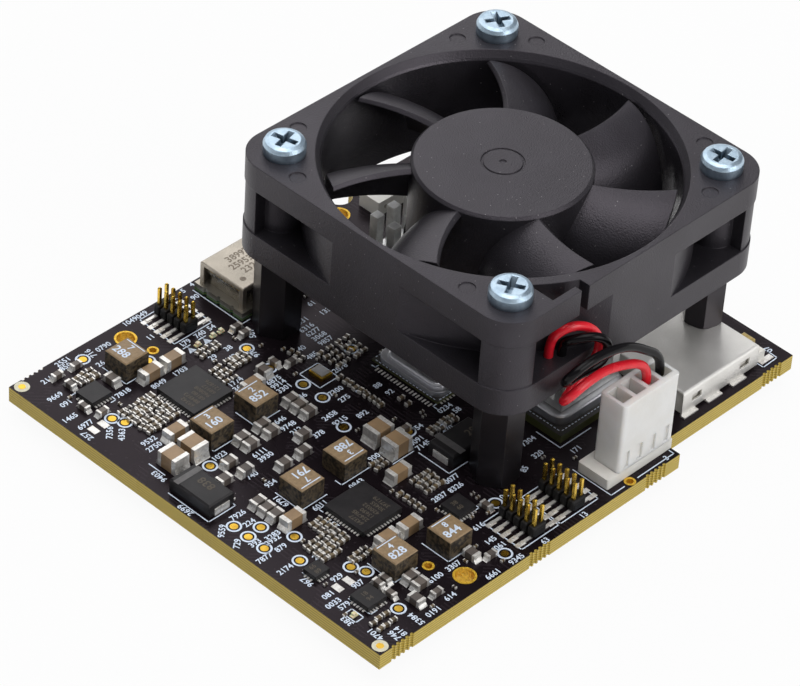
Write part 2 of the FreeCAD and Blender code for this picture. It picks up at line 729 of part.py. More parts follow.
def pin_fin_heatsink(place):
    """Flat base with a square grid of upright pins, flush with the base's edges."""
    low = processor_height + lid_height + thermal_pad_thickness
    base = box(heatsink_size, heatsink_size, heatsink_base, *place, low)
    pitch = (heatsink_size - pin_width) / (pin_rows - 1)
    pins = []
    for row in range(pin_rows):
        for column in range(pin_rows):
            x = place[0] + row_offset(column, pin_rows, pitch)
            y = place[1] + row_offset(row, pin_rows, pitch)
            pins.append(box(pin_width, pin_width, heatsink_height, x, y, low))
    return joined([base] + pins)


def transceiver_package():
    return box(transceiver_size, transceiver_size, transceiver_base, *transceiver_place, 0)


def transceiver_lid():
    """Drawn metal lid: a flanged foot and a raised, rounded top."""
    foot = rounded_plate(transceiver_lid_size, transceiver_corner_radius, transceiver_foot_height,
                         *transceiver_place, transceiver_base)
    crown = rounded_plate(transceiver_lid_size - 2 * transceiver_step, transceiver_corner_radius,
                          transceiver_lid_height, *transceiver_place, transceiver_base)
    top = transceiver_base + transceiver_lid_height
    crown = crown.makeFillet(lid_edge_round, edges_at_height(crown, top))
    return joined([foot, crown])


def shield_can():
    """Folded sheet with an open left end, spring slots in its front wall and solder feet."""
    x = shield_left + shield_length / 2
    y = front_row_y + shield_width / 2
    outer = box(shield_length, shield_width, shield_height - shield_lift, x, y, shield_lift)
    outer = outer.makeFillet(shield_edge_round, edges_at_height(outer, shield_height))
    inner = box(shield_length, shield_width - 2 * shield_sheet, shield_height - shield_lift - shield_sheet,
                x - shield_sheet, y, shield_lift)
    can = outer.cut(inner)
    for inset in (shield_slot_inset, shield_length - shield_slot_inset):
        can = can.cut(box(shield_slot_length, 4 * shield_sheet, shield_slot_height, shield_left + inset,
                          front_row_y, shield_lift + shield_slot_sill))
    can = can.cut(Part.makeBox(2 * shield_sheet, insulator_nose_width + 2 * insulator_gap,
                               insulator_nose_height + insulator_gap,
                               vec(shield_left + shield_length - shield_sheet,
                                   front_row_y + shield_sheet, 0)))
    can = joined([can] + shield_feet())
    return can.cut(rod(screw_hole_radius, shield_height, *fan_corner((1, -1)), shield_lift))


def shield_feet():
    feet = []
    for index in range(shield_foot_count):
        x = shield_left + shield_foot_length / 2 + index * shield_foot_pitch
        for y, side in ((front_row_y, -1), (front_row_y + shield_width, 1)):
            leg = box(shield_foot_length, shield_sheet, shield_lift + shield_sheet, x,
                      y - side * shield_sheet / 2, 0)
            toe = box(shield_foot_length, shield_foot_reach, shield_sheet, x,
                      y + side * (shield_foot_reach / 2 - shield_sheet), 0)
            feet += [leg, toe]
    return feet


def shield_insulator():
    """Moulded block that fills the can and ends in a low nose at the board's right end."""
    x = shield_left + shield_length / 2
    y = front_row_y + shield_width / 2
    depth = shield_width - 2 * shield_sheet - 2 * insulator_gap
    block = box(shield_length - 2 * shield_sheet - 2 * insulator_gap, depth, shield_height - shield_sheet,
                x, y, 0)
    wall = shield_sheet + insulator_gap
    nose = Part.makeBox(insulator_nose_reach + wall, insulator_nose_width, insulator_nose_height,
                        vec(shield_left + shield_length - wall, front_row_y + wall, 0))
    block = joined([block, nose])
    return block.cut(rod(screw_hole_radius, 2 * shield_height, *fan_corner((1, -1)), -shield_height / 2))


def edge_contact():
    """Brass lug on the insulator's nose beside the can."""
    length, width, height = contact_size
    x = shield_left + shield_length + insulator_nose_reach / 2
    y = front_row_y + shield_sheet + insulator_gap + insulator_nose_width - width / 2
    lug = box(length, width, height, x, y, insulator_nose_height)
    return lug.makeFillet(length / 4, edges_at_height(lug, insulator_nose_height + height))


def fan_header():
    """Header moulding: low base and the lock wall behind the crimp housing."""
    base = Part.makeBox(header_length, header_depth, header_base_height, vec(header_left, plug_front, 0))
    wall_length = housing_length - 2 * lock_wall_inset
    wall = Part.makeBox(wall_length, lock_wall_thickness, lock_wall_height,
                        vec(housing_left + lock_wall_inset,
                            plug_front + header_depth - lock_wall_thickness, 0))
    body = joined([base, wall])
    body = body.makeFillet(header_corner_round, [edge for edge in body.Edges if is_upright(edge)][:2])
    return body.cut(Part.makeCompound([header_pin_shape(way) for way in range(plug_ways)]))


def header_pin_shape(way):
    x = plug_center_x + row_offset(way, plug_ways, plug_pitch)
    return box(header_pin_width, header_pin_width, board_thickness + header_pin_tail + header_pin_top, x,
               plug_slot_center_y, -board_thickness - header_pin_tail)


def crimp_housing():
    """Nylon housing: open slots from above, a rounded front edge and shallow windows low at the front."""
    body = Part.makeBox(housing_length, housing_depth, housing_top - header_base_height,
                        vec(housing_left, plug_front, header_base_height))
    body = body.makeFillet(housing_corner_round, [edge for edge in body.Edges if is_upright(edge)])
    cuts = []
    for way in range(plug_ways):
        x = plug_center_x + row_offset(way, plug_ways, plug_pitch)
        cuts.append(box(slot_width, slot_depth, slot_floor, x, plug_slot_center_y, housing_top - slot_floor))
        cuts.append(box(cavity_width, cavity_depth, housing_top, x, plug_slot_center_y, header_base_height))
        cuts.append(box(housing_window_width, 2 * housing_window_depth, housing_window_height,
                        x, plug_front, header_base_height + housing_window_sill))
    return body.cut(Part.makeCompound(cuts))


def crimp_contact(way):
    """Crimped box contact on one pin, up to the bare end of its wire."""
    x = plug_center_x + row_offset(way, plug_ways, plug_pitch)
    width = header_pin_width + 2 * crimp_wall
    low = header_base_height + crimp_lift
    sleeve = box(width, width, header_pin_top - low, x, plug_slot_center_y, low)
    sleeve = sleeve.cut(box(header_pin_width, header_pin_width, header_pin_top - low,
                            x, plug_slot_center_y, low))
    barrel = rod(wire_diameter / 2, wire_end_height - header_pin_top, x, plug_slot_center_y, header_pin_top)
    return joined([sleeve, barrel])


def wire(route, way, drop_height):
    """Round wire of straight runs joined by tangent arcs, from the fan's pocket down into its slot."""
    x = plug_center_x + row_offset(way, plug_ways, plug_pitch)
    points = [vec(along, fan_front - ahead, height) for along, ahead, height in route]
    points += [vec(x, plug_slot_center_y, drop_height), vec(x, plug_slot_center_y, wire_end_height)]
    last = points[0]
    lengths = []
    radii = []
    pieces = []
    for before, corner, after in zip(points, points[1:], points[2:]):
        inward = (corner - before).normalize()
        outward = (after - corner).normalize()
        turn = inward.getAngle(outward)
        setback = wire_arc_share * min((corner - before).Length, (after - corner).Length)
        radii.append(setback / math.tan(turn / 2))
        start = corner - inward * setback
        center = corner + (outward - inward).normalize() * (radii[-1] / math.cos(turn / 2))
        bend = wire_section(start, inward).revolve(center, inward.cross(outward), math.degrees(turn))
        pieces += [wire_section(last, inward).extrude(start - last), bend]
        lengths += [(start - last).Length, radii[-1] * turn]
        last = corner + outward * setback
    pieces.append(wire_section(last, points[-1] - last).extrude(points[-1] - last))
    lengths.append((points[-1] - last).Length)
    solid = pieces[0].fuse(pieces[1:])
    expected = sum(lengths) * math.pi * (wire_diameter / 2) ** 2
    print("wire radii", [round(radius, 2) for radius in radii], "length", round(sum(lengths), 1),
          "volume", round(solid.Volume, 2), "expected", round(expected, 2))
    return solid


def wire_section(point, direction):
    return Part.Face(Part.Wire(Part.makeCircle(wire_diameter / 2, point, direction)))


def strip_body(place):
    """Header moulding with a chamfered edge and a groove along its middle."""
    length = strip_ways * strip_pitch + 2 * strip_end_margin
    body = box(strip_body_width, length, strip_body_height, *place, strip_foot_thickness)
    top = strip_foot_thickness + strip_body_height
    body = body.makeChamfer(strip_body_chamfer, edges_at_height(body, top))
    foot_x = strip_pitch / 2 + strip_body_width / 4 - strip_pin_width / 2
    holes = []
    for row in (-1, 1):
        for way in range(strip_ways):
            y = place[1] + row_offset(way, strip_ways, strip_pitch)
            holes.append(box(strip_pin_width, strip_pin_width, 2 * strip_body_height,
                             place[0] + row * strip_pitch / 2, y, 0))
            holes.append(box(strip_body_width / 2, strip_pin_width, strip_foot_thickness,
                             place[0] + row * foot_x, y, 0))
    return body.cut(Part.makeCompound(holes))


def strip_pins(place):
    """Posts that bend under the moulding and end in flat feet on the board."""
    pins = []
    for row in (-1, 1):
        x = place[0] + row * strip_pitch / 2
        for way in range(strip_ways):
            y = place[1] + row_offset(way, strip_ways, strip_pitch)
            post = box(strip_pin_width, strip_pin_width, strip_pin_top, x, y, 0)
            post = post.makeChamfer(strip_pin_bevel, edges_at_height(post, strip_pin_top))
            reach = strip_foot_reach - strip_pitch / 2
            foot = box(reach, strip_pin_width, strip_foot_thickness, x + row * reach / 2, y, 0)
            pins.append(joined([post, foot]))
    return pins


def oscillator_middle():
    return (oscillator_left + oscillator_length / 2,
            oscillator_front + oscillator_width / 2)


def oscillator_substrate():
    """Small board with half round contacts along its left edge, standing on solder."""
    x, y = oscillator_middle()
    plate = box(oscillator_length, oscillator_width, oscillator_base + oscillator_lift, x, y, 0)
    scallops = [rod(oscillator_scallop_radius, 2 * oscillator_base + oscillator_lift, oscillator_left,
                    y + row_offset(index, oscillator_scallop_count, oscillator_scallop_pitch),
                    -oscillator_base / 2) for index in range(oscillator_scallop_count)]
    return plate.cut(Part.makeCompound(scallops))


def oscillator_core():
    """Inner board and oven block that shows through the cover's open end."""
    x, y = oscillator_middle()
    low = oscillator_base + oscillator_lift
    length = oscillator_length - 2 * oscillator_core_inset
    width = oscillator_width - 2 * oscillator_core_inset
    block = box(length - oscillator_block_setback, width, oscillator_block_height,
                x + oscillator_block_setback / 2, y, low)
    shelf = box(length, width, oscillator_shelf_thickness, x, y, low + oscillator_block_height)
    post = box(oscillator_post_thickness, width - 2 * oscillator_post_inset, oscillator_block_height,
               x - (length - oscillator_post_thickness) / 2 + oscillator_post_setback, y, low)
    return joined([block, shelf, post])


def oscillator_contacts():
    """Plated bumps along the left edge of the inner board."""
    x, y = oscillator_middle()
    left = oscillator_left + oscillator_core_inset + oscillator_bump_inset
    low = oscillator_base + oscillator_lift + oscillator_block_height + oscillator_shelf_thickness
    return [box(*oscillator_bump_size, left,
                y + row_offset(index, oscillator_bump_count, oscillator_bump_pitch), low)
            for index in range(oscillator_bump_count)]


def oscillator_cover():
    """Drawn cover with an open window in its left end and in its front wall."""
    x, y = oscillator_middle()
    low = oscillator_base + oscillator_lift
    length = oscillator_length - 2 * oscillator_cover_inset
    width = oscillator_width - 2 * oscillator_cover_inset
    sheet = oscillator_cover_sheet
    cover = box(length, width, oscillator_cover_height, x, y, low)
    cover = cover.makeFillet(oscillator_cover_round, edges_at_height(cover, low + oscillator_cover_height))
    cover = cover.cut(box(length - 2 * sheet, width - 2 * sheet, oscillator_cover_height - sheet, x, y, low))
    open_height = oscillator_cover_height - oscillator_window_drop
    reach = 4 * sheet
    end_window = box(reach, width - 2 * oscillator_leg_width, open_height, x - length / 2, y, low)
    side_window = box(length - 2 * oscillator_leg_width, reach, open_height, x, y - width / 2, low)
    return cover.cut(Part.makeCompound([end_window, side_window]))


def inductors():
    """Moulded power inductors with a small bevel round the top."""
    length, width, height = inductor_size
    solids = []
    for x, y in inductor_places:
        body = box(length, width, height, x, y, 0)
        solids.append(body.makeChamfer(inductor_bevel, edges_at_height(body, height)))
    return solids


def chip_bodies(size, places):
    length, width, height = size
    end = length * cap_end_share
    middle = length - 2 * end
    return [turned(box(middle, width, height, x, y, 0), angle, x, y) for x, y, angle in places]


def chip_ends(size, places):
    """Two metal end caps for each part, a little proud of its body."""
    length, width, height = size
    end = length * cap_end_share
    solids = []
    for x, y, angle in places:
        for side in (-1, 1):
            cap = box(end, width + 2 * cap_end_proud, height + cap_end_proud,
                      x + side * (length - end) / 2, y, 0)
            solids.append(turned(cap, angle, x, y))
    return solids


def bank_places():
    places = []
    for x, y, columns, rows, pitch_x, pitch_y in tiny_banks:
        for column in range(columns):
            for row in range(rows):
                places.append((x + column * pitch_x, y + row * pitch_y, 0))
    return places


def flat_chip_bodies(kind):
    return [box(length, width, flat_chip_height, x, y, 0)
            for x, y, length, width, along_x, along_y in flat_chips[kind]]


def flat_chip_contacts():
    """Solder toes that show beside the quad flat chips."""
    toes = []
    for chips in flat_chips.values():
        for x, y, length, width, along_x, along_y in chips:
            for side in (-1, 1):
                for index in range(along_x):
                    toes.append(box(flat_contact_width, flat_contact_reach, flat_contact_height,
                                    x + row_offset(index, along_x, flat_chip_pitch),
                                    y + side * (width + flat_contact_reach) / 2, 0))
                for index in range(along_y):
                    toes.append(box(flat_contact_reach, flat_contact_width, flat_contact_height,
                                    x + side * (length + flat_contact_reach) / 2,
                                    y + row_offset(index, along_y, flat_chip_pitch), 0))
    return toes


def tantalum_bodies():
    length, width, height = tantalum_size
    solids = []
    for x, y, angle in tantalum_places:
        body = box(length, width, height, x, y, 0)
        body = body.makeChamfer(tantalum_bevel, edges_at_height(body, height))
        for side in (-1, 1):
            body = body.cut(tantalum_tab(x, y, side))
        solids.append(turned(body, angle, x, y))
    return solids


def tantalum_tab(x, y, side):
    """Bent strip that leaves the end of the body and turns under it."""
    edge = x + side * tantalum_size[0] / 2
    upright = box(tantalum_tab_thickness, tantalum_tab_width, tantalum_tab_height,
                  edge + side * tantalum_tab_thickness / 2, y, 0)
    foot = box(tantalum_tab_foot, tantalum_tab_width, tantalum_tab_thickness,
               edge - side * (tantalum_tab_foot / 2 - tantalum_tab_thickness), y, 0)
    return joined([upright, foot])


def tantalum_tabs():
    return [turned(tantalum_tab(x, y, side), angle, x, y)
            for x, y, angle in tantalum_places for side in (-1, 1)]


def lamps():
    low = lamp_base_size[2]
    return [joined([box(*lamp_base_size, x, y, 0), box(*lamp_lens_size, x, y, low)]) for x, y in lamp_places]


def crystal_case():
    return box(*crystal_size, *crystal_place, 0)


def crystal_lid():
    length, width, height = crystal_size
    return box(length - 2 * crystal_lid_inset, width - 2 * crystal_lid_inset, crystal_lid_height,
               *crystal_place, height)


def edge_block():
    length, width, height = edge_block_size
    x, y = edge_block_place
    block = box(length, width, height, x, y, 0)
    block = block.makeFillet(edge_block_corner_round, [edge for edge in block.Edges if is_upright(edge)])
    hole = Part.makeCylinder(edge_block_hole_radius, edge_block_hole_depth,
                             vec(x - edge_block_hole_offset, y - width / 2, height / 2), vec(0, 1, 0))
    return block.cut(hole)


os.makedirs("parts", exist_ok=True)
shield_corner = (1, -1)
long_corners = [corner for corner in fan_corners if corner != shield_corner]
short_standoff_height = standoff_height - shield_height

save("circuit_board", circuit_board())
save("plated_hole_liners", [plated_liner(mounting_hole_radius, x, y) for x, y in mounting_hole_places]
     + [plated_liner(eyelet_radius, x, y) for x, y in eyelet_places])
save("fan_frame", fan_frame())
save("fan_rotor", fan_rotor())
save("fan_magnet_ring", magnet_ring())
save("fan_shaft", fan_shaft())
save("fan_bearing", bearing_sleeve())
save("fan_motor_board", motor_board())
save("fan_stator_core", stator_core())
save("fan_stator_coils", stator_coils())
save("fan_screws", [pan_head_screw(fan_screw_length, *fan_corner(corner), fan_top, screw_turns[corner])
                    for corner in fan_corners])
save("long_standoffs", [standoff(standoff_flats, standoff_height, *fan_corner(corner), 0,
                                 standoff_turns[corner]) for corner in long_corners])
save("short_standoff", standoff(short_standoff_flats, short_standoff_height, *fan_corner(shield_corner),
                                shield_height, short_standoff_turn))
save("board_screws", [flipped_screw(board_screw_length, *fan_corner(corner), -board_thickness,
                                    screw_turns[corner]) for corner in long_corners])
save("long_board_screw", flipped_screw(board_screw_length + shield_height, *fan_corner(shield_corner),
                                       -board_thickness, screw_turns[shield_corner]))
for name, place in processor_places.items():
    save(name + "_processor_substrate", processor_substrate(place))
    save(name + "_processor_lid", processor_lid(place))
    save(name + "_thermal_pad", thermal_pad(place))
    save(name + "_heatsink", pin_fin_heatsink(place))
save("transceiver_package", transceiver_package())
save("transceiver_lid", transceiver_lid())
save("shield_can", shield_can())
save("shield_insulator", shield_insulator())
save("edge_contact", edge_contact())
save("fan_header", fan_header())
save("fan_header_pins", [header_pin_shape(way) for way in range(plug_ways)])
save("crimp_housing", crimp_housing())
save("crimp_contacts", [crimp_contact(way) for way in (red_wire_way, black_wire_way)])
save("red_wire", wire(red_route, red_wire_way, red_wire_drop_height))
save("black_wire", wire(black_route, black_wire_way, black_wire_drop_height))
for name, place in strip_places.items():
    save(name + "_strip_body", strip_body(place))
    save(name + "_strip_pins", strip_pins(place))
save("oscillator_substrate", oscillator_substrate())
save("oscillator_core", oscillator_core())
save("oscillator_contacts", oscillator_contacts())
save("oscillator_cover", oscillator_cover())
save("power_inductors", inductors())
save("tan_capacitor_bodies", chip_bodies(tall_capacitor_size, tall_capacitor_places)
     + chip_bodies(tan_capacitor_size, tan_capacitor_places))
save("grey_capacitor_bodies", chip_bodies(grey_capacitor_size, grey_capacitor_places)
     + chip_bodies(small_capacitor_size, small_capacitor_places))
save("capacitor_ends", chip_ends(tall_capacitor_size, tall_capacitor_places)
     + chip_ends(tan_capacitor_size, tan_capacitor_places)
     + chip_ends(grey_capacitor_size, grey_capacitor_places)
     + chip_ends(small_capacitor_size, small_capacitor_places))
save("tiny_part_bodies", chip_bodies(tiny_part_size, bank_places()))
save("tiny_part_ends", chip_ends(tiny_part_size, bank_places()))
save("large_flat_chips", flat_chip_bodies("large"))
save("small_flat_chips", flat_chip_bodies("small"))
save("flat_chip_contacts", flat_chip_contacts())
save("tantalum_bodies", tantalum_bodies())
save("tantalum_tabs", tantalum_tabs())
save("lamps", lamps())
save("crystal_case", crystal_case())
save("crystal_lid", crystal_lid())
save("edge_block", edge_block())
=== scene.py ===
import bmesh
import bpy
import math
import random
from mathutils import Matrix, Vector


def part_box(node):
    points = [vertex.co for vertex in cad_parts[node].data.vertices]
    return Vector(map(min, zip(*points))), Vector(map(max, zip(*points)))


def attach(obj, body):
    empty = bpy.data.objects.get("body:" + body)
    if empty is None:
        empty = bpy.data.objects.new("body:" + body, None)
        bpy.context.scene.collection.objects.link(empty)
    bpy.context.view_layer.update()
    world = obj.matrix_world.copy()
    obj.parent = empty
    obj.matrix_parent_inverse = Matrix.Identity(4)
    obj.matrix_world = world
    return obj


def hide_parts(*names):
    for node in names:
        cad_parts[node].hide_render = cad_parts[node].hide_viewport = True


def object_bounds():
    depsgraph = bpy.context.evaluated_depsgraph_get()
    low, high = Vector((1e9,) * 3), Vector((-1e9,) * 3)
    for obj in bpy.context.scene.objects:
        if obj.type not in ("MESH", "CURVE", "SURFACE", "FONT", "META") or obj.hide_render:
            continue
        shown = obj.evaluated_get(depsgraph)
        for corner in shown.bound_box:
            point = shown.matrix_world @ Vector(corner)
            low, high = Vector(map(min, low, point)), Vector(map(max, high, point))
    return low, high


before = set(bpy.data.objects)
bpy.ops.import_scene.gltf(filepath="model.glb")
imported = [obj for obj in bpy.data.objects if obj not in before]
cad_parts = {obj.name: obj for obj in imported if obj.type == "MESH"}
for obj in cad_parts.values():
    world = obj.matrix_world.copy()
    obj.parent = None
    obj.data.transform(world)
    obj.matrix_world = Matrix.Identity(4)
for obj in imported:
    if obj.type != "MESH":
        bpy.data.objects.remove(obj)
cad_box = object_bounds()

# Photo set. The board stands on a white sweep in soft, even studio light and is seen from above its front
# left corner through a long lens. The sweep is a floor with an upright rim, which stays white to the camera
# and in metal and keeps a faint shadow.
mm = 0.001
sensor_width = 36.0
lens_length = 188.1
look_azimuth = 41.718
look_elevation = 39.645
camera_roll = math.radians(-4.081)
corner_right_of_axis = -2.417 * mm
corner_below_axis = 38.093 * mm
corner_ahead = 509.358 * mm
room_tone = (0.92, 0.94, 1.0, 1.0)
room_strength = 0.24
floor_reach = 3.0
floor_gap = 0.2 * mm
floor_sides = 48
sweep_rise = 0.6
sweep_tone = (0.7, 0.7, 0.7, 1.0)
sweep_white = 0.94

board_low, board_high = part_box("circuit_board")
board_corner = Vector((board_low.x, board_low.y, board_high.z))


def at(x, y, z=0.0):
    """Point in millimetres from the board's front left corner and top face."""
    return board_corner + Vector((x, y, z)) * mm


def direction(azimuth, elevation):
    """Unit vector that points that many degrees round and up."""
    azimuth, elevation = math.radians(azimuth), math.radians(elevation)
    return Vector((math.cos(elevation) * math.cos(azimuth), math.cos(elevation) * math.sin(azimuth),
                   math.sin(elevation)))


def soft_box(name, azimuth, elevation, distance, size, power):
    """Square area lamp, facing the middle of the object from that direction."""
    lamp = bpy.data.lights.new(name, "AREA")
    lamp.shape = "SQUARE"
    lamp.size = size
    lamp.energy = power
    towards = direction(azimuth, elevation)
    stand = bpy.data.objects.new(name, lamp)
    turned = towards.to_track_quat("Z", "Y").to_matrix().to_4x4()
    stand.matrix_world = Matrix.Translation(towards * distance) @ turned
    bpy.context.scene.collection.objects.link(stand)


def link(tree, *pairs):
    for start, end in pairs:
        tree.links.new(start, end)


def calc(tree, operation, first, second=None, third=None):
    """Math node with its inputs set to numbers or joined to sockets."""
    node = tree.nodes.new("ShaderNodeMath")
    node.operation = operation
    for socket, value in zip(node.inputs, (first, second, third)):
        if isinstance(value, (int, float)):
            socket.default_value = value
        elif value is not None:
            link(tree, (value, socket))
    return node.outputs[0]


def deselect():
    bpy.ops.object.select_all(action="DESELECT")


def edit(action="SELECT"):
    """Go into edit mode with the whole mesh selected, or none of it."""
    bpy.ops.object.mode_set(mode="EDIT")
    bpy.ops.mesh.select_all(action=action)


def leave_edit():
    bpy.ops.object.mode_set(mode="OBJECT")


def pick(piece, wanted):
    """Go into edit mode with those vertices of a piece selected whose place is wanted."""
    edit("DESELECT")
    leave_edit()
    for vertex in piece.data.vertices:
        vertex.select = wanted(vertex.co)
    bpy.ops.object.mode_set(mode="EDIT")


ahead = direction(look_azimuth, -look_elevation)
level_right = direction(look_azimuth - 90.0, 0.0)
level_down = ahead.cross(level_right)
right = math.cos(camera_roll) * level_right + math.sin(camera_roll) * level_down
down = -math.sin(camera_roll) * level_right + math.cos(camera_roll) * level_down
lens = bpy.data.cameras.new("photo_camera")
lens.sensor_fit = "HORIZONTAL"
lens.sensor_width = sensor_width
lens.lens = lens_length
lens.clip_start = 0.02
lens.clip_end = 20.0
camera = bpy.data.objects.new("photo_camera", lens)
bpy.context.scene.collection.objects.link(camera)
camera.matrix_world = Matrix.Translation(
    board_corner - right * corner_right_of_axis - down * corner_below_axis - ahead * corner_ahead
) @ Matrix((right, -down, -ahead)).transposed().to_4x4()
bpy.context.scene.camera = camera
bpy.context.scene.view_settings.view_transform = "Standard"

soft_box("back_soft_box", azimuth=62.0, elevation=42.0, distance=0.9, size=0.75, power=2.7)
soft_box("top_soft_box", azimuth=200.0, elevation=84.0, distance=1.0, size=0.9, power=6.0)
soft_box("front_soft_box", azimuth=282.0, elevation=30.0, distance=0.9, size=0.6, power=3.4)
world = bpy.data.worlds.new("white_room")
bpy.context.scene.world = world
world.use_nodes = True
room = world.node_tree.nodes["Background"]
room.inputs["Color"].default_value = room_tone
room.inputs["Strength"].default_value = room_strength

deselect()
bpy.ops.mesh.primitive_cylinder_add(vertices=floor_sides, radius=floor_reach, depth=sweep_rise,
                                    location=(0, 0, cad_box[0][2] - floor_gap + sweep_rise / 2))
floor = bpy.context.object
bpy.ops.object.transform_apply(location=True)
pick(floor, lambda place: place.z > sweep_rise / 2)
bpy.ops.mesh.delete(type="ONLY_FACE")
bpy.ops.mesh.select_all(action="SELECT")
bpy.ops.mesh.flip_normals()
leave_edit()
floor.name = "white_sweep"
sweep = bpy.data.materials.new("white_sweep")
sweep.use_nodes = True
tree = sweep.node_tree
matte = tree.nodes["Principled BSDF"]
matte.inputs["Base Color"].default_value = sweep_tone
matte.inputs["Roughness"].default_value = 0.9
matte.inputs["Specular IOR Level"].default_value = 0.0
glow = tree.nodes.new("ShaderNodeEmission")
glow.inputs["Strength"].default_value = 1.0
path = tree.nodes.new("ShaderNodeLightPath").outputs
mirrored = calc(tree, "MAXIMUM", path["Is Glossy Ray"], path["Is Transmission Ray"])
seen = calc(tree, "MAXIMUM", path["Is Camera Ray"], mirrored)
mix = tree.nodes.new("ShaderNodeMixShader")
link(tree, (calc(tree, "MULTIPLY", seen, sweep_white), mix.inputs["Fac"]),
     (matte.outputs["BSDF"], mix.inputs[1]), (glow.outputs["Emission"], mix.inputs[2]),
     (mix.outputs["Shader"], tree.nodes["Material Output"].inputs["Surface"]))
floor.data.materials.append(sweep)

# Circuit board. A thick laminate of many glass and resin layers, routed out of a panel, with a dark
# solder mask on both faces over the copper traces. The sawn edges are bare and show the olive resin.
board_thickness = 2.4
board_layers = 6
laminate_tone = (0.66, 0.5, 0.095)
laminate_other_tone = (0.38, 0.28, 0.055)
layer_waviness = 2.0
mask_tone = (0.0065, 0.0043, 0.0055)
mask_other_tone = (0.0105, 0.0075, 0.0093)
mask_tint = (1.0, 0.8, 0.93)
trace_tone = (0.026, 0.02, 0.024)
trace_pitch = 0.62
slant_pitch = 1.4 * trace_pitch
trace_edge = 0.35
turn_size = 6.5
turn_share = 0.52
patch_size = 4.0
patch_share = 0.56
via_pitch = 1.7
via_radius = 0.17
copper_shows = 0.55
copper_rise = 0.012
blotch_range = (0.35, 0.65)
smudge_range = (0.3, 0.7)
smudge_spread = 3.0
dust_pitch = 0.8
dust_radius = 0.065
dust_tone = (0.22, 0.21, 0.21)


def node_group(name, inputs, outputs):
    """Empty shader group with its named sockets, and its inner ends."""
    group = bpy.data.node_groups.new(name, "ShaderNodeTree")
    for label, kind, value in inputs:
        group.interface.new_socket(label, in_out="INPUT", socket_type=kind).default_value = value
    for label, kind in outputs:
        group.interface.new_socket(label, in_out="OUTPUT", socket_type=kind)
    return group, group.nodes.new("NodeGroupInput").outputs, group.nodes.new("NodeGroupOutput").inputs


def placed(tree, group, values):
    """A shader group in a material, with its own values."""
    node = tree.nodes.new("ShaderNodeGroup")
    node.node_tree = group
    for label, value in values.items():
        node.inputs[label].default_value = value
    return node.outputs


def remap(tree, value, given, wanted=(0.0, 1.0)):
    """Value moved from one range to another, and held inside it."""
    node = tree.nodes.new("ShaderNodeMapRange")
    for label, edge in zip(("From Min", "From Max", "To Min", "To Max"), given + wanted):
        node.inputs[label].default_value = edge
    link(tree, (value, node.inputs["Value"]))
    return node.outputs["Result"]


def own_place(tree, stretch=None):
    """The object's own coordinates, if asked stretched along its axes."""
    place = tree.nodes.new("ShaderNodeTexCoord").outputs["Object"]
    if stretch:
        mapping = tree.nodes.new("ShaderNodeMapping")
        mapping.inputs["Scale"].default_value = stretch
        link(tree, (place, mapping.inputs["Vector"]))
        place = mapping.outputs["Vector"]
    return place


def axis_value(tree, axis, output="Object"):
    """One axis of the object's own coordinates or normal."""
    split = tree.nodes.new("ShaderNodeSeparateXYZ")
    link(tree, (tree.nodes.new("ShaderNodeTexCoord").outputs[output], split.inputs[0]))
    return split.outputs[axis]


def noise_node(tree, size, detail=3.0, stretch=None):
    """Noise on the object's own coordinates, its blotches about size millimetres across."""
    noise = tree.nodes.new("ShaderNodeTexNoise")
    noise.inputs["Detail"].default_value = detail
    if isinstance(size, (int, float)):
        noise.inputs["Scale"].default_value = 1.0 / (size * mm)
    else:
        link(tree, (calc(tree, "DIVIDE", 1.0 / mm, size), noise.inputs["Scale"]))
    link(tree, (own_place(tree, stretch), noise.inputs["Vector"]))
    return noise.outputs["Fac"]


def two_tones(tree, mask, tone, other_tone):
    """Colour that goes from tone to other_tone as the mask goes from 0 to 1."""
    blend = tree.nodes.new("ShaderNodeMix")
    blend.data_type = "RGBA"
    link(tree, (mask, blend.inputs["Factor"]))
    for socket, value in ((blend.inputs[6], tone), (blend.inputs[7], other_tone)):
        if isinstance(value, tuple):
            socket.default_value = (*value, 1.0)
        else:
            link(tree, (value, socket))
    return blend.outputs[2]


def spots(tree, pitch, radius, flat=False):
    """Mask of round spots of about that radius in millimetres, one in each cell, and the cells' colours."""
    cells = tree.nodes.new("ShaderNodeTexVoronoi")
    cells.voronoi_dimensions = "2D" if flat else "3D"
    cells.inputs["Scale"].default_value = 1.0 / (pitch * mm)
    link(tree, (own_place(tree), cells.inputs["Vector"]))
    return calc(tree, "LESS_THAN", cells.outputs["Distance"], radius / pitch), cells.outputs["Color"]


blotches, given, made = node_group(
    "blotches", [("Tone", "NodeSocketColor", (0.5, 0.5, 0.5, 1.0)),
                 ("Other Tone", "NodeSocketColor", (0.4, 0.4, 0.4, 1.0)), ("Size", "NodeSocketFloat", 5.0)],
    [("Color", "NodeSocketColor")])
spread = remap(blotches, noise_node(blotches, given["Size"], 5.0), blotch_range)
link(blotches, (two_tones(blotches, spread, given["Tone"], given["Other Tone"]), made["Color"]))

grain_group, given, made = node_group(
    "grain", [("Size", "NodeSocketFloat", 0.2), ("Smudge Size", "NodeSocketFloat", 4.0)],
    [("Height", "NodeSocketFloat"), ("Smudge", "NodeSocketFloat")])
link(grain_group, (noise_node(grain_group, given["Size"], 2.0), made["Height"]),
     (noise_node(grain_group, given["Smudge Size"], 4.0), made["Smudge"]))

dust_group, given, made = node_group(
    "dust", [("Share", "NodeSocketFloat", 0.5)], [("Mask", "NodeSocketFloat")])
specks, speck_cells = spots(dust_group, dust_pitch, dust_radius)
kept = calc(dust_group, "LESS_THAN", speck_cells, given["Share"])
link(dust_group, (calc(dust_group, "MULTIPLY", specks, kept), made["Mask"]))


def shader_of(material):
    return material.node_tree.nodes["Principled BSDF"]


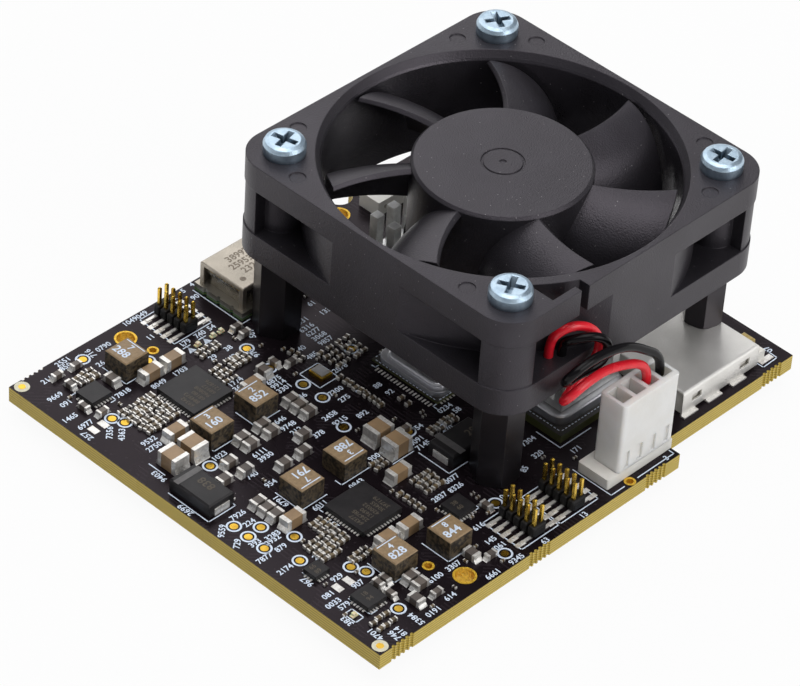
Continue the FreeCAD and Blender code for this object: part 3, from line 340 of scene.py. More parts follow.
def finish(name, tone, other_tone, blotch, roughness, smudge=0.06, grain=0.2, depth=0.004, metallic=0.0,
           specular=0.5, edge=0.0, dust=0.0, tint=(1.0, 1.0, 1.0)):
    """Material of two close tones in blotches, with smudged gloss and a fine grain that stands up by depth.

    If asked, its edges look rounded by edge, and dust lies on that share of it. Sizes are in millimetres.
    """
    material = bpy.data.materials.new(name)
    material.use_nodes = True
    tree = material.node_tree
    shader = shader_of(material).inputs
    shader["Metallic"].default_value = metallic
    shader["Specular IOR Level"].default_value = specular
    shader["Specular Tint"].default_value = (*tint, 1.0)
    tones = placed(tree, blotches, {"Tone": (*tone, 1.0), "Other Tone": (*other_tone, 1.0), "Size": blotch})
    texture = placed(tree, grain_group, {"Size": grain, "Smudge Size": smudge_spread * blotch})
    gloss = remap(tree, texture["Smudge"], smudge_range, (roughness - smudge, roughness + smudge))
    bump = tree.nodes.new("ShaderNodeBump")
    bump.name = "grain_bump"
    bump.inputs["Distance"].default_value = depth * mm
    link(tree, (tones["Color"], shader["Base Color"]), (gloss, shader["Roughness"]),
         (texture["Height"], bump.inputs["Height"]), (bump.outputs["Normal"], shader["Normal"]))
    if edge:
        rounded = tree.nodes.new("ShaderNodeBevel")
        rounded.inputs["Radius"].default_value = edge * mm
        link(tree, (rounded.outputs["Normal"], bump.inputs["Normal"]))
    if dust:
        fallen = placed(tree, dust_group, {"Share": dust})["Mask"]
        link(tree, (two_tones(tree, fallen, tones["Color"], dust_tone), shader["Base Color"]))
    return material


def fed(material, label="Base Color"):
    """Socket that now feeds that input of the shader, and the input's own socket."""
    own = shader_of(material).inputs[label]
    return own.links[0].from_socket, own


def upright_faces(tree):
    """Mask of the upright faces."""
    return calc(tree, "LESS_THAN", calc(tree, "ABSOLUTE", axis_value(tree, 2, "Normal")), 0.5)


def laminate_edges(material, layers, thickness, tone, other_tone):
    """Leave the material on the level faces and show the resin and its layers on the upright edges."""
    tree = material.node_tree
    turns = calc(tree, "MULTIPLY", axis_value(tree, 2), 2.0 * math.pi * layers / (thickness * mm))
    wander = calc(tree, "MULTIPLY", noise_node(tree, 0.8, 2.0, (1, 1, 0.1)), layer_waviness)
    lines = calc(tree, "MULTIPLY_ADD", calc(tree, "SINE", calc(tree, "ADD", turns, wander)), 0.5, 0.5)
    faces, own = fed(material)
    link(tree, (two_tones(tree, upright_faces(tree), faces, two_tones(tree, lines, tone, other_tone)), own))


def dress(material, *nodes):
    """Give CAD nodes their material."""
    for node in nodes:
        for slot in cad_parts[node].material_slots:
            slot.material = material


def waves(tree, value, pitch):
    """Sine that repeats at that pitch in millimetres."""
    return calc(tree, "SINE", calc(tree, "MULTIPLY", value, 2.0 * math.pi / (pitch * mm)))


board_finish = finish("board_finish", mask_tone, mask_other_tone, 9.0, 0.28, smudge=0.07, grain=0.35,
                      specular=0.17, dust=0.12, tint=mask_tint)
tree = board_finish.node_tree
slanted = waves(tree, calc(tree, "ADD", axis_value(tree, 0), axis_value(tree, 1)), slant_pitch)
straight = waves(tree, axis_value(tree, 0), trace_pitch)
turned = calc(tree, "GREATER_THAN", noise_node(tree, turn_size, 0.0), turn_share)
chosen = calc(tree, "ADD", calc(tree, "MULTIPLY", slanted, turned),
              calc(tree, "MULTIPLY", straight, calc(tree, "SUBTRACT", 1.0, turned)))
traces = calc(tree, "MULTIPLY", calc(tree, "GREATER_THAN", chosen, trace_edge),
              calc(tree, "GREATER_THAN", noise_node(tree, patch_size, 1.0), patch_share))
vias, via_cells = spots(tree, via_pitch, via_radius, flat=True)
vias = calc(tree, "MULTIPLY", vias, calc(tree, "GREATER_THAN", via_cells, 0.5))
copper = calc(tree, "MAXIMUM", traces, vias)
covered, own = fed(board_finish)
link(tree, (two_tones(tree, calc(tree, "MULTIPLY", copper, copper_shows), covered, trace_tone), own))
raised = tree.nodes.new("ShaderNodeBump")
raised.inputs["Distance"].default_value = copper_rise * mm
link(tree, (copper, raised.inputs["Height"]),
     (raised.outputs["Normal"], tree.nodes["grain_bump"].inputs["Normal"]))
laminate_edges(board_finish, board_layers, board_thickness, laminate_tone, laminate_other_tone)
dress(board_finish, "circuit_board")

# Plating. Gold over nickel in the mounting holes and eyelets, and on the test points and aiming dots.
# The test points are flat gold discs in openings of the mask, each the size of a pin's head.
pad_radius = 0.55
pad_thickness = 0.03
dot_radius = 0.5
disc_sides = 24
pad_places = [
    (10.9, 65.6), (5.7, 54.3), (6.4, 52.6), (28.5, 52.8), (27.9, 47.9), (28.9, 42.6), (28.9, 39.0),
    (8.7, 39.1), (38.7, 43.5), (17.1, 59.7), (3.0, 28.8), (3.0, 26.2), (5.4, 26.4), (3.0, 23.3),
    (7.3, 22.3), (4.7, 18.7), (8.6, 13.6), (9.4, 11.7), (7.6, 4.3), (26.8, 33.0), (30.7, 9.6), (24.7, 2.3),
    (32.4, 26.7)]
dot_places = [(1.2, 1.2), (1.3, 66.8)]


def settled(name, pieces, material):
    """Pieces joined under that name, their places in their mesh, with a material, riding on the board."""
    deselect()
    for piece in pieces:
        piece.select_set(True)
    bpy.context.view_layer.objects.active = pieces[0]
    if len(pieces) > 1:
        bpy.ops.object.join()
    whole = bpy.context.view_layer.objects.active
    bpy.ops.object.transform_apply(location=True, rotation=True, scale=True)
    whole.name = name
    whole.data.name = name
    whole.data.materials.clear()
    whole.data.materials.append(material)
    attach(whole, "board")
    return whole


def twins(pattern, places, height=0.0):
    """Copies of a piece, each with its own mesh, at points with, if given, their turn and stretch."""
    made = []
    for x, y, *more in places:
        twin = pattern.copy()
        twin.data = pattern.data.copy()
        bpy.context.scene.collection.objects.link(twin)
        twin.location = at(x, y, height)
        if more:
            twin.rotation_euler = (0.0, 0.0, math.radians(more[0]))
        if len(more) > 1:
            twin.scale = more[1]
        made.append(twin)
    bpy.data.objects.remove(pattern)
    return made


def disc(radius, thickness):
    """Flat disc that stands on its own origin."""
    deselect()
    bpy.ops.mesh.primitive_cylinder_add(vertices=disc_sides, radius=radius * mm, depth=thickness * mm,
                                        location=(0, 0, thickness * mm / 2))
    bpy.ops.object.transform_apply(location=True)
    return bpy.context.object


gold = finish("gold_plating", (0.78, 0.5, 0.07), (0.62, 0.37, 0.045), 0.6, 0.3, smudge=0.08, grain=0.15,
              metallic=1.0)
dress(finish("hole_plating", (0.92, 0.58, 0.05), (0.62, 0.36, 0.03), 0.3, 0.36, smudge=0.08, grain=0.3,
             depth=0.12, metallic=0.55), "plated_hole_liners")
settled("test_points", twins(disc(pad_radius, pad_thickness), pad_places)
        + twins(disc(dot_radius, pad_thickness), dot_places), gold)

# Tinned pads. Copper lands left open in the mask and tinned: those of the jumpers, and the fixing rows
# round the lidded radio chip.
land_thickness = 0.05
jumper_size = (1.0, 1.5)
jumper_places = [(2.4, 54.2), (4.1, 54.2), (4.7, 12.0), (6.6, 12.0)]
radio_land = (0.75, 0.26)
radio_pitch = 0.57
radio_column = [(38.3, 28.55 + radio_pitch * index) for index in range(18)]
radio_row = [(39.7 + radio_pitch * index, 28.0) for index in range(6)]


def slab(length, width, height):
    """Box that stands on its own origin."""
    deselect()
    bpy.ops.mesh.primitive_cube_add(size=1.0, location=(0, 0, height * mm / 2),
                                    scale=(length * mm, width * mm, height * mm))
    bpy.ops.object.transform_apply(location=True, scale=True)
    return bpy.context.object


tin = finish("tin_plate", (0.9, 0.88, 0.84), (0.7, 0.67, 0.63), 0.4, 0.36, smudge=0.1, depth=0.012,
             metallic=0.55, edge=0.08)
settled("tinned_pads", twins(slab(*jumper_size, land_thickness), jumper_places)
        + twins(slab(*radio_land, land_thickness), radio_column)
        + twins(slab(*reversed(radio_land), land_thickness), radio_row), tin)

# Legend. White ink screened on the mask: rings round the test points, outlines and corner marks round
# the parts, and a short plain number beside each. The aiming dots lie in rings of bare resin.
ink_lift = 0.03
ink_width = 0.17
ring_outer = 1.05
ring_inner = 0.78
ring_sides = 32
number_size = 1.22
number_boldness = 0.022
number_seed = 11
outlines = [
    (26.8, 1.35, 33.65, 8.1), (34.0, 1.35, 41.1, 8.1), (22.0, 59.85, 28.8, 66.6), (30.0, 40.6, 33.4, 44.4),
    (1.9, 6.1, 3.3, 8.15)]
open_lines = [
    [(42.8, 7.25), (42.8, 0.62), (45.3, 0.62)], [(47.9, 0.62), (54.9, 0.62), (54.9, 1.4)],
    [(44.75, 15.5), (44.75, 11.3), (50.6, 11.3)], [(38.4, 27.4), (38.4, 28.1), (39.0, 28.1)],
    [(38.4, 39.3), (38.4, 38.7), (39.0, 38.7)], [(31.6, 66.4), (31.6, 56.9), (33.0, 56.9)],
    [(76.9, 5.6), (76.9, 4.1), (79.8, 4.2), (79.9, 5.8)], [(10.6, 12.6), (10.6, 7.9), (14.6, 7.9)],
    [(18.3, 10.6), (18.3, 6.0), (20.9, 6.0)], [(11.0, 44.6), (11.0, 40.8), (14.4, 40.8)],
    [(18.4, 44.4), (18.4, 40.9), (22.9, 40.9)], [(11.3, 29.8), (11.3, 25.2), (15.9, 25.2)],
    [(18.6, 26.3), (18.6, 25.2), (24.0, 25.2)], [(11.7, 62.6), (11.7, 58.1), (14.0, 58.1)],
    [(1.2, 38.9), (1.2, 31.5), (5.9, 31.5), (5.9, 32.3)], [(30.4, 22.9), (30.4, 17.5), (33.8, 17.5)],
    [(5.0, 61.2), (7.2, 61.2)], [(8.6, 57.9), (8.6, 56.7), (7.8, 56.7)], [(3.2, 44.6), (3.2, 41.7)],
    [(26.4, 23.6), (30.1, 23.6)], [(28.5, 14.1), (28.5, 10.4), (27.2, 10.4)], [(3.4, 16.9), (3.4, 15.2)],
    [(4.3, 9.7), (4.3, 5.9), (5.4, 5.9)], [(13.2, 23.2), (13.2, 23.9), (13.9, 23.9)]]
numbers = [
    (0.5, 21.6, 4), (3.6, 23.3, 4), (3.7, 21.6, 3), (1.0, 18.4, 4), (6.2, 17.4, 4), (3.0, 14.4, 3, 90),
    (5.0, 13.0, 3), (2.0, 11.5, 3), (1.1, 10.0, 4), (6.1, 10.4, 3), (2.1, 8.8, 3), (1.7, 6.1, 3, 90),
    (2.6, 1.8, 4, 90), (4.2, 0.4, 3, 90), (5.3, 0.4, 3, 90), (8.3, 0.3, 4, 90), (9.2, 0.6, 4),
    (13.0, 1.1, 3), (13.8, 4.7, 4), (17.0, 4.7, 4), (19.6, 0.3, 4), (23.8, 0.2, 4), (24.2, 4.8, 3),
    (24.4, 3.3, 3), (13.0, 19.9, 3, 90), (28.7, 16.2, 4), (25.0, 14.8, 4), (27.9, 14.7, 4), (25.0, 7.6, 3),
    (29.6, 0.1, 2), (31.9, 9.4, 2), (2.9, 40.8, 4, 90), (1.0, 33.9, 4, 90), (9.7, 39.3, 4), (10.5, 33.8, 3),
    (11.2, 31.1, 3), (14.0, 36.3, 4), (14.0, 35.2, 4), (0.6, 28.1, 4, 40), (0.6, 25.3, 3, 40),
    (3.6, 29.6, 4), (4.0, 27.6, 3), (1.9, 24.4, 3), (4.2, 23.9, 4), (11.1, 27.0, 4, 90), (12.6, 23.9, 4),
    (19.0, 23.7, 4), (20.7, 39.1, 3), (20.4, 37.6, 4), (20.8, 36.2, 3), (22.5, 33.8, 3), (25.3, 44.4, 4),
    (25.3, 43.3, 4), (26.6, 40.6, 2), (29.9, 38.4, 4), (25.8, 35.4, 4), (26.1, 33.8, 4), (30.0, 36.6, 3),
    (29.5, 32.8, 3), (24.6, 25.8, 3), (32.9, 26.1, 3), (30.7, 24.4, 4), (30.7, 23.2, 4), (3.7, 65.2, 4),
    (7.3, 65.6, 3), (7.4, 66.6, 4), (12.9, 64.9, 3, 90), (13.4, 65.3, 4), (1.9, 62.0, 4), (2.4, 60.1, 3),
    (20.0, 62.6, 2), (0.5, 57.6, 4), (1.1, 55.3, 4), (9.0, 56.7, 4), (13.7, 54.9, 4), (17.5, 54.9, 4),
    (22.3, 58.7, 3), (25.0, 58.7, 3), (27.4, 58.7, 2), (23.3, 54.1, 2), (26.1, 54.1, 2), (1.4, 53.0, 3, 90),
    (3.0, 51.3, 4, 45), (3.9, 50.0, 4, 45), (13.0, 50.3, 3, 90), (5.0, 47.5, 4), (4.7, 46.2, 4),
    (24.7, 52.4, 3), (21.4, 48.5, 4), (21.3, 47.4, 2), (25.4, 45.4, 4), (28.9, 50.6, 3, 90),
    (19.6, 66.8, 7), (30.2, 66.8, 1), (32.0, 67.0, 1), (30.2, 64.8, 2), (11.4, 63.0, 2), (41.4, 14.6, 4),
    (40.7, 12.0, 3), (45.1, 9.3, 3), (37.8, 11.0, 2, 20), (36.8, 0.1, 2), (53.2, 0.3, 1),
    (33.8, 36.6, 2, 90), (33.6, 41.3, 4), (38.1, 26.4, 4), (39.6, 25.1, 2), (35.4, 35.5, 2),
    (35.6, 33.5, 2), (36.2, 50.2, 4), (36.2, 49.0, 4), (36.2, 47.8, 4), (36.2, 46.6, 4), (37.2, 51.6, 3),
    (40.8, 51.0, 3), (40.9, 53.4, 2), (33.0, 45.6, 3), (33.3, 47.6, 2), (31.0, 53.6, 3, 60),
    (80.6, 5.5, 2, 90), (35.6, 24.4, 3), (35.6, 23.2, 3)]


def ring(outer, inner):
    """Flat printed ring."""
    deselect()
    bpy.ops.mesh.primitive_circle_add(vertices=ring_sides, radius=outer * mm, fill_type="NGON")
    edit()
    bpy.ops.mesh.inset(thickness=(outer - inner) * mm)
    bpy.ops.mesh.delete(type="FACE")
    leave_edit()
    return bpy.context.object


def stroke(start, end, height=ink_lift, width=ink_width):
    """Straight printed line between two points."""
    run = Vector(end) - Vector(start)
    middle = (Vector(start) + Vector(end)) / 2
    deselect()
    bpy.ops.mesh.primitive_plane_add(size=1.0, location=at(middle.x, middle.y, height),
                                     rotation=(0, 0, math.atan2(run.y, run.x)))
    line = bpy.context.object
    line.scale = ((run.length + width) * mm, width * mm, 1.0)
    return line


def strokes(points):
    """Printed line through points."""
    return [stroke(start, end) for start, end in zip(points, points[1:])]


def number(x, y, digits, turn=0, height=ink_lift, size=number_size):
    """Printed row of plain digits, its lower left corner at x and y."""
    bpy.ops.object.text_add(location=at(x, y, height), rotation=(0, 0, math.radians(turn)))
    row = bpy.context.object
    row.data.body = "".join(random.choice("0123456789") for _ in range(digits))
    row.data.resolution_u = 2
    row.data.offset = number_boldness
    row.scale = (size * mm, size * mm, 1.0)
    return row


def printed(rows):
    """Text rows as meshes."""
    deselect()
    for row in rows:
        row.select_set(True)
    bpy.context.view_layer.objects.active = rows[0]
    bpy.ops.object.convert(target="MESH")
    return rows


random.seed(number_seed)
ink = finish("legend_ink", (0.7, 0.79, 0.91), (0.62, 0.7, 0.82), 1.2, 0.5, smudge=0.05, grain=0.12)
lines = []
for x0, y0, x1, y1 in outlines:
    lines += strokes([(x0, y0), (x1, y0), (x1, y1), (x0, y1), (x0, y0)])
for points in open_lines:
    lines += strokes(points)
settled("legend_lines", lines, ink)
settled("legend_rings", twins(ring(ring_outer, ring_inner), pad_places, ink_lift), ink)
bare_resin = finish("bare_resin", (0.7, 0.67, 0.52), (0.6, 0.57, 0.42), 0.6, 0.4, smudge=0.05, grain=0.1)
settled("dot_rings", twins(ring(ring_outer, dot_radius), dot_places, ink_lift / 2), bare_resin)
settled("legend_numbers", printed([number(*row) for row in numbers]), ink)

# Chip capacitors. Fired ceramic bodies in tan and grey with tinned metal ends, standing on solder that
# climbs each outer end in a small wedge.
solder_rise = 0.4
solder_reach = 0.38
solder_slump = (-0.25, 0.0, -0.86)


def merged_copy(node):
    """Mesh of a CAD node with its loose triangles merged into closed solids."""
    mesh = bmesh.new()
    mesh.from_mesh(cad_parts[node].data)
    bmesh.ops.remove_doubles(mesh, verts=mesh.verts, dist=1e-6)
    return mesh


def islands(mesh):
    """Vertices of every separate solid in a mesh."""
    groups = []
    seen = set()
    for first in mesh.verts:
        if first in seen:
            continue
        seen.add(first)
        group = [first]
        for vertex in group:
            for edge in vertex.link_edges:
                other = edge.other_vert(vertex)
                if other not in seen:
                    seen.add(other)
                    group.append(other)
        groups.append(group)
    return groups


def corners(group):
    """Lowest and highest corner of a solid's vertices."""
    return (Vector([min(vertex.co[axis] for vertex in group) for axis in range(3)]),
            Vector([max(vertex.co[axis] for vertex in group) for axis in range(3)]))


def solids_of(node):
    """Lowest and highest corner of every separate solid of a CAD node, in the board's millimetres."""
    mesh = merged_copy(node)
    boxes = [tuple((corner - board_corner) / mm for corner in corners(group)) for group in islands(mesh)]
    mesh.free()
    return boxes


def wedge():
    """Solder wedge one unit long, wide and high, its upright face against the part."""
    deselect()
    bpy.ops.mesh.primitive_cube_add(size=1.0, location=(0.5, 0.0, 0.5))
    bpy.ops.object.transform_apply(location=True)
    piece = bpy.context.object
    pick(piece, lambda place: place.x > 0.5 and place.z > 0.5)
    bpy.ops.transform.translate(value=solder_slump)
    leave_edit()
    return piece


dress(finish("tan_ceramic", (0.33, 0.215, 0.115), (0.25, 0.165, 0.09), 2.2, 0.4, grain=0.12, depth=0.006,
             edge=0.1), "tan_capacitor_bodies")
dress(finish("grey_ceramic", (0.135, 0.11, 0.092), (0.085, 0.072, 0.066), 2.0, 0.4, grain=0.12, depth=0.006,
             edge=0.08), "grey_capacitor_bodies")
dress(tin, "capacitor_ends", "flat_chip_contacts", "tantalum_tabs", "crimp_contacts", "fan_header_pins")

bodies = [(low + high) / 2 for node in ("tan_capacitor_bodies", "grey_capacitor_bodies")
          for low, high in solids_of(node)]
wedge_places = []
for low, high in solids_of("capacitor_ends"):
    middle = (low + high) / 2
    body = min(bodies, key=lambda center: (center - middle).length)
    outward = middle - body
    size = high - low
    if abs(outward.x) > abs(outward.y):
        turn = 0.0 if outward.x > 0 else 180.0
        foot = (high.x if outward.x > 0 else low.x, middle.y)
        width = size.y
    else:
        turn = 90.0 if outward.y > 0 else 270.0
        foot = (middle.x, high.y if outward.y > 0 else low.y)
        width = size.x
    wedge_places.append((*foot, turn, (solder_reach * mm, width * mm, solder_rise * size.z * mm)))
solder = finish("solder", (0.86, 0.85, 0.82), (0.62, 0.6, 0.57), 0.5, 0.3, smudge=0.1, depth=0.012,
                metallic=0.65)
settled("solder_wedges", twins(wedge(), wedge_places), solder)

# Banks of the smallest parts. Dark chips between tinned ends, set by machine and pulled a little askew
# by the melting solder, so each sits with its own small slip and turn.
slip = 0.13
skew = 15.0
pull_seed = 5
dark = finish("dark_ceramic", (0.03, 0.024, 0.022), (0.16, 0.115, 0.06), 1.3, 0.42, grain=0.12, depth=0.006)
pull = random.Random(pull_seed)
bank_bodies = merged_copy("tiny_part_bodies")
bank_ends = merged_copy("tiny_part_ends")
moves = []
for group in islands(bank_bodies):
    low, high = corners(group)
    middle = (low + high) / 2
    shift = Vector((pull.uniform(-slip, slip), pull.uniform(-slip, slip), 0.0)) * mm
    turn = Matrix.Rotation(math.radians(pull.uniform(-skew, skew)), 4, "Z")
    moves.append((middle, Matrix.Translation(middle + shift) @ turn @ Matrix.Translation(-middle)))
    for vertex in group:
        vertex.co = moves[-1][1] @ vertex.co
for group in islands(bank_ends):
    low, high = corners(group)
    move = min(moves, key=lambda pair: (pair[0] - (low + high) / 2).length)[1]
    for vertex in group:
        vertex.co = move @ vertex.co
for mesh, node, material, slot in ((bank_bodies, "tiny_part_bodies", dark, "dark_ceramic"),
                                   (bank_ends, "tiny_part_ends", tin, "tin_plate")):
    bank = bpy.data.objects.new(node + "_set", bpy.data.meshes.new(node + "_set"))
    mesh.to_mesh(bank.data)
    mesh.free()
    bpy.context.scene.collection.objects.link(bank)
    bank.data.materials.append(material)
    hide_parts(node)
    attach(bank, "board")

# Loose scatter of the very smallest resistors between the banks, each a dark chip between two bright
# ends, placed where the photo shows them.
speck_length, speck_width, speck_height = 0.62, 0.32, 0.3
speck_end = 0.2
speck_swell = 1.06
speck_places = [
    (4.4, 61.0, 0), (8.3, 55.6, 90), (12.4, 52.0, 90), (12.3, 47.0, 0), (23.4, 53.6, 0), (28.6, 55.3, 90),
    (20.4, 46.5, 90), (29.5, 44.7, 0), (33.9, 44.9, 0), (30.4, 38.2, 90), (33.5, 38.9, 0), (32.7, 29.6, 0),
    (36.4, 28.2, 0), (36.0, 27.4, 0), (33.8, 36.0, 0), (27.6, 31.3, 0), (6.5, 32.6, 90), (11.8, 32.4, 90),
    (10.0, 24.8, 0), (12.6, 21.6, 90), (12.6, 20.4, 90), (7.4, 20.9, 0), (22.4, 18.8, 0), (22.4, 20.0, 0),
    (24.1, 13.6, 90), (28.6, 8.9, 0), (29.7, 12.7, 0), (29.7, 11.8, 0), (3.9, 13.4, 0), (8.4, 12.4, 0),
    (11.7, 12.6, 90), (6.2, 6.2, 90), (10.9, 1.7, 0), (15.4, 2.2, 90), (22.8, 5.6, 0), (23.4, 1.5, 0),
    (42.1, 16.1, 0), (41.6, 11.4, 0), (44.6, 8.6, 0), (41.9, 55.3, 0), (38.1, 44.9, 0), (30.2, 51.9, 0),
    (31.9, 49.4, 0), (7.0, 52.0, 90), (1.8, 7.9, 0), (19.9, 4.6, 90), (26.4, 9.7, 0), (41.2, 40.3, 0)]
speck_body = slab(speck_length * (1 - 2 * speck_end), speck_width, speck_height)
settled("scattered_bodies", twins(speck_body, speck_places), dark)
end_places = []
for x, y, turn in speck_places:
    angle = math.radians(turn)
    for side in (-1, 1):
        reach = side * speck_length * (1 - speck_end) / 2
        end_places.append((x + reach * math.cos(angle), y + reach * math.sin(angle), turn))
speck_cap = slab(speck_length * speck_end, speck_width * speck_swell, speck_height * speck_swell)
settled("scattered_ends", twins(speck_cap, end_places), tin)

# Power inductors. Pressed iron powder blocks, brown and speckled, darker on the sides, with a white bar
# and a plain number printed on top.
inductor_places = [(12.8, 43.15, 0), (20.7, 43.1, 0), (13.95, 60.45, -90), (13.55, 27.45, 180),
                   (21.3, 27.45, 180), (12.65, 10.0, 0), (20.55, 8.15, 0)]
inductor_top = 3.0
bar_reach = 1.6
bar_up = 1.605
inductor_rows = [(1, 1.35, 0.35), (3, 1.75, -1.25)]
half_digit = 0.31
mottle_size = 0.5
mottle_range = (0.4, 0.6)
ferrite = finish("ferrite", (0.3, 0.205, 0.11), (0.23, 0.155, 0.08), 0.5, 0.5, grain=0.14, depth=0.016,
                 edge=0.14)
tree = ferrite.node_tree
mottled = remap(tree, noise_node(tree, mottle_size, 4.0), mottle_range)
rough_side = two_tones(tree, mottled, (0.012, 0.009, 0.007), (0.11, 0.08, 0.045))
lit, own = fed(ferrite)
link(tree, (two_tones(tree, upright_faces(tree), lit, rough_side), own))
dress(ferrite, "power_inductors")
marks = []
digits = []
for x, y, turn in inductor_places:
    along = Vector((math.cos(math.radians(turn)), math.sin(math.radians(turn))))
    up = Vector((-along.y, along.x))
    middle = Vector((x, y))
    bar = middle + up * bar_up
    marks.append(stroke(bar - along * bar_reach, bar + along * bar_reach, inductor_top + ink_lift))
    for count, size, rise in inductor_rows:
        start = middle + up * rise - along * (half_digit * count * size)
        digits.append(number(*start, count, turn, inductor_top + ink_lift, size))
settled("inductor_marks", marks + printed(digits), ink)

# Quad flat chips and tantalum capacitors. Black moulded epoxy with faint grey laser marks in plain
# numbers, and a grey band over the positive end of each tantalum.
chip_top = 0.85
large_chips = [(17.0, 50.7), (17.1, 19.9)]
large_row_count = 6
large_row_pitch = 0.95
large_row_start = (-2.2, -2.4)
large_row_size = 0.9
small_chips = [(5.9, 7.9), (26.3, 12.0), (4.6, 15.7)]
small_row_starts = [(-0.7, 0.2), (-0.7, -0.8)]
small_row_size = 0.95
tantalum_top = 2.0
tantalum_rows = [(35.9, 19.3, 3, 0), (5.0, 34.1, 3, 90)]
tantalum_row_size = 1.7
tantalum_bands = [((33.0, 18.2), (33.0, 21.9), 1.1), ((2.1, 38.1), (5.6, 38.1), 0.9)]
dress(finish("chip_epoxy", (0.018, 0.017, 0.018), (0.025, 0.023, 0.024), 1.5, 0.34, grain=0.1, depth=0.01,
             specular=0.25, edge=0.08), "large_flat_chips", "small_flat_chips")
dress(finish("tantalum_epoxy", (0.017, 0.016, 0.017), (0.024, 0.022, 0.023), 2.5, 0.36, grain=0.1,
             depth=0.008, specular=0.25, edge=0.12), "tantalum_bodies")
laser = finish("laser_mark", (0.085, 0.07, 0.05), (0.065, 0.052, 0.04), 0.6, 0.6, smudge=0.05, grain=0.1,
               depth=0.002)
rows = []
for x, y in large_chips:
    for index in range(large_row_count):
        rows.append(number(x + large_row_start[0] + large_row_pitch * index, y + large_row_start[1],
                           5 + index % 2, 90, chip_top + ink_lift, large_row_size))
for x, y in small_chips:
    rows += [number(x + across, y + up, 2, 0, chip_top + ink_lift, small_row_size)
             for across, up in small_row_starts]
rows += [number(*row, tantalum_top + ink_lift, tantalum_row_size) for row in tantalum_rows]
settled("laser_marks", printed(rows), laser)
band = finish("tantalum_band", (0.11, 0.105, 0.105), (0.085, 0.08, 0.08), 0.8, 0.5, smudge=0.05, grain=0.1)
settled("tantalum_bands", [stroke(start, end, tantalum_top + ink_lift, width)
                           for start, end, width in tantalum_bands], band)

# Lamps, timing crystal and the edge block. Clear resin lamps on white bases, a gold plated crystal
# package with a brushed lid, and a small white moulding at the back edge.
sign_places = [(22.8, 57.4), (25.6, 57.4)]
sign_radius = 0.72
sign_bar_reach = 0.6
sign_bar_up = 0.95
sign_stem = (-1.1, 1.6)
sign_stem_width = 0.1


def translucent(material, weight, depth, reach=(1.0, 0.2, 0.1)):
    """Let light into a material to about that depth in millimetres, for each colour by its own reach."""
    shader = shader_of(material).inputs
    shader["Subsurface Weight"].default_value = weight
    shader["Subsurface Scale"].default_value = depth * mm
    shader["Subsurface Radius"].default_value = reach


lamp_resin = finish("lamp_resin", (0.8, 0.76, 0.56), (0.7, 0.62, 0.36), 0.5, 0.22, smudge=0.05)
translucent(lamp_resin, 0.3, 0.3)
dress(lamp_resin, "lamps")
dress(gold, "crystal_case", "oscillator_contacts")
dress(finish("brushed_lid", (0.5, 0.5, 0.51), (0.42, 0.42, 0.43), 0.8, 0.32, grain=0.1, depth=0.006,
             metallic=1.0, edge=0.05), "crystal_lid")
dress(finish("cream_plastic", (0.84, 0.82, 0.77), (0.78, 0.76, 0.7), 2.0, 0.48, smudge=0.05, depth=0.006,
             edge=0.12), "edge_block", "shield_insulator", "fan_header")
marks = []
for x, y in sign_places:
    deselect()
    bpy.ops.mesh.primitive_circle_add(vertices=3, radius=sign_radius * mm, fill_type="NGON",
                                      location=at(x, y, ink_lift))
    marks += [bpy.context.object,
              stroke((x - sign_bar_reach, y + sign_bar_up), (x + sign_bar_reach, y + sign_bar_up)),
              stroke((x, y + sign_stem[0]), (x, y + sign_stem[1]), width=sign_stem_width)]
settled("lamp_marks", marks, ink)

# Processor modules and the radio chip. Small dark laminates with drawn nickel lids; a grey pad and a
# pin fin heatsink of cast aluminium are stuck on each processor. White dashes are printed round the lids.
substrate_top = 1.2
substrate_layers = 6
radio_top = 0.35
dash_pitch = 0.62
dash_length = 0.36
dash_width = 0.14
processor_centers = [(53.0, 19.5), (57.5, 48.2)]
processor_dash_reach = 6.95
radio_center = (45.1, 34.0)
radio_dash_reach = 5.85

module_board = finish("module_board", (0.018, 0.015, 0.012), (0.026, 0.022, 0.017), 2.5, 0.36)
laminate_edges(module_board, substrate_layers, substrate_top, (0.115, 0.115, 0.035), (0.06, 0.075, 0.03))
dress(module_board, "front_processor_substrate", "back_processor_substrate", "transceiver_package")
dress(finish("lid_nickel", (0.72, 0.72, 0.75), (0.62, 0.62, 0.65), 2.0, 0.4, grain=0.14, depth=0.008,
             metallic=1.0, edge=0.15), "front_processor_lid", "back_processor_lid", "transceiver_lid")
dress(finish("thermal_pad", (0.42, 0.42, 0.41), (0.34, 0.34, 0.33), 1.2, 0.8, smudge=0.05, depth=0.02),
      "front_thermal_pad", "back_thermal_pad")
dress(finish("cast_aluminium", (0.84, 0.84, 0.83), (0.7, 0.7, 0.69), 0.9, 0.46, smudge=0.08, grain=0.12,
             depth=0.016, metallic=1.0, edge=0.15), "front_heatsink", "back_heatsink")


def dashes(center, reach, height):
    """Square of short printed dashes round a middle point."""
    pieces = []
    half = (dash_length - dash_width) / 2
    count = int(2 * reach / dash_pitch)
    for index in range(count):
        offset = (index - (count - 1) / 2) * dash_pitch
        for side in (-reach, reach):
            x, y = center[0] + offset, center[1] + side
            pieces.append(stroke((x - half, y), (x + half, y), height, dash_width))
            x, y = center[0] + side, center[1] + offset
            pieces.append(stroke((x, y - half), (x, y + half), height, dash_width))
    return pieces


dash_pieces = dashes(radio_center, radio_dash_reach, radio_top + ink_lift)
for center in processor_centers:
    dash_pieces += dashes(center, processor_dash_reach, substrate_top + ink_lift)
settled("module_dashes", dash_pieces, ink)

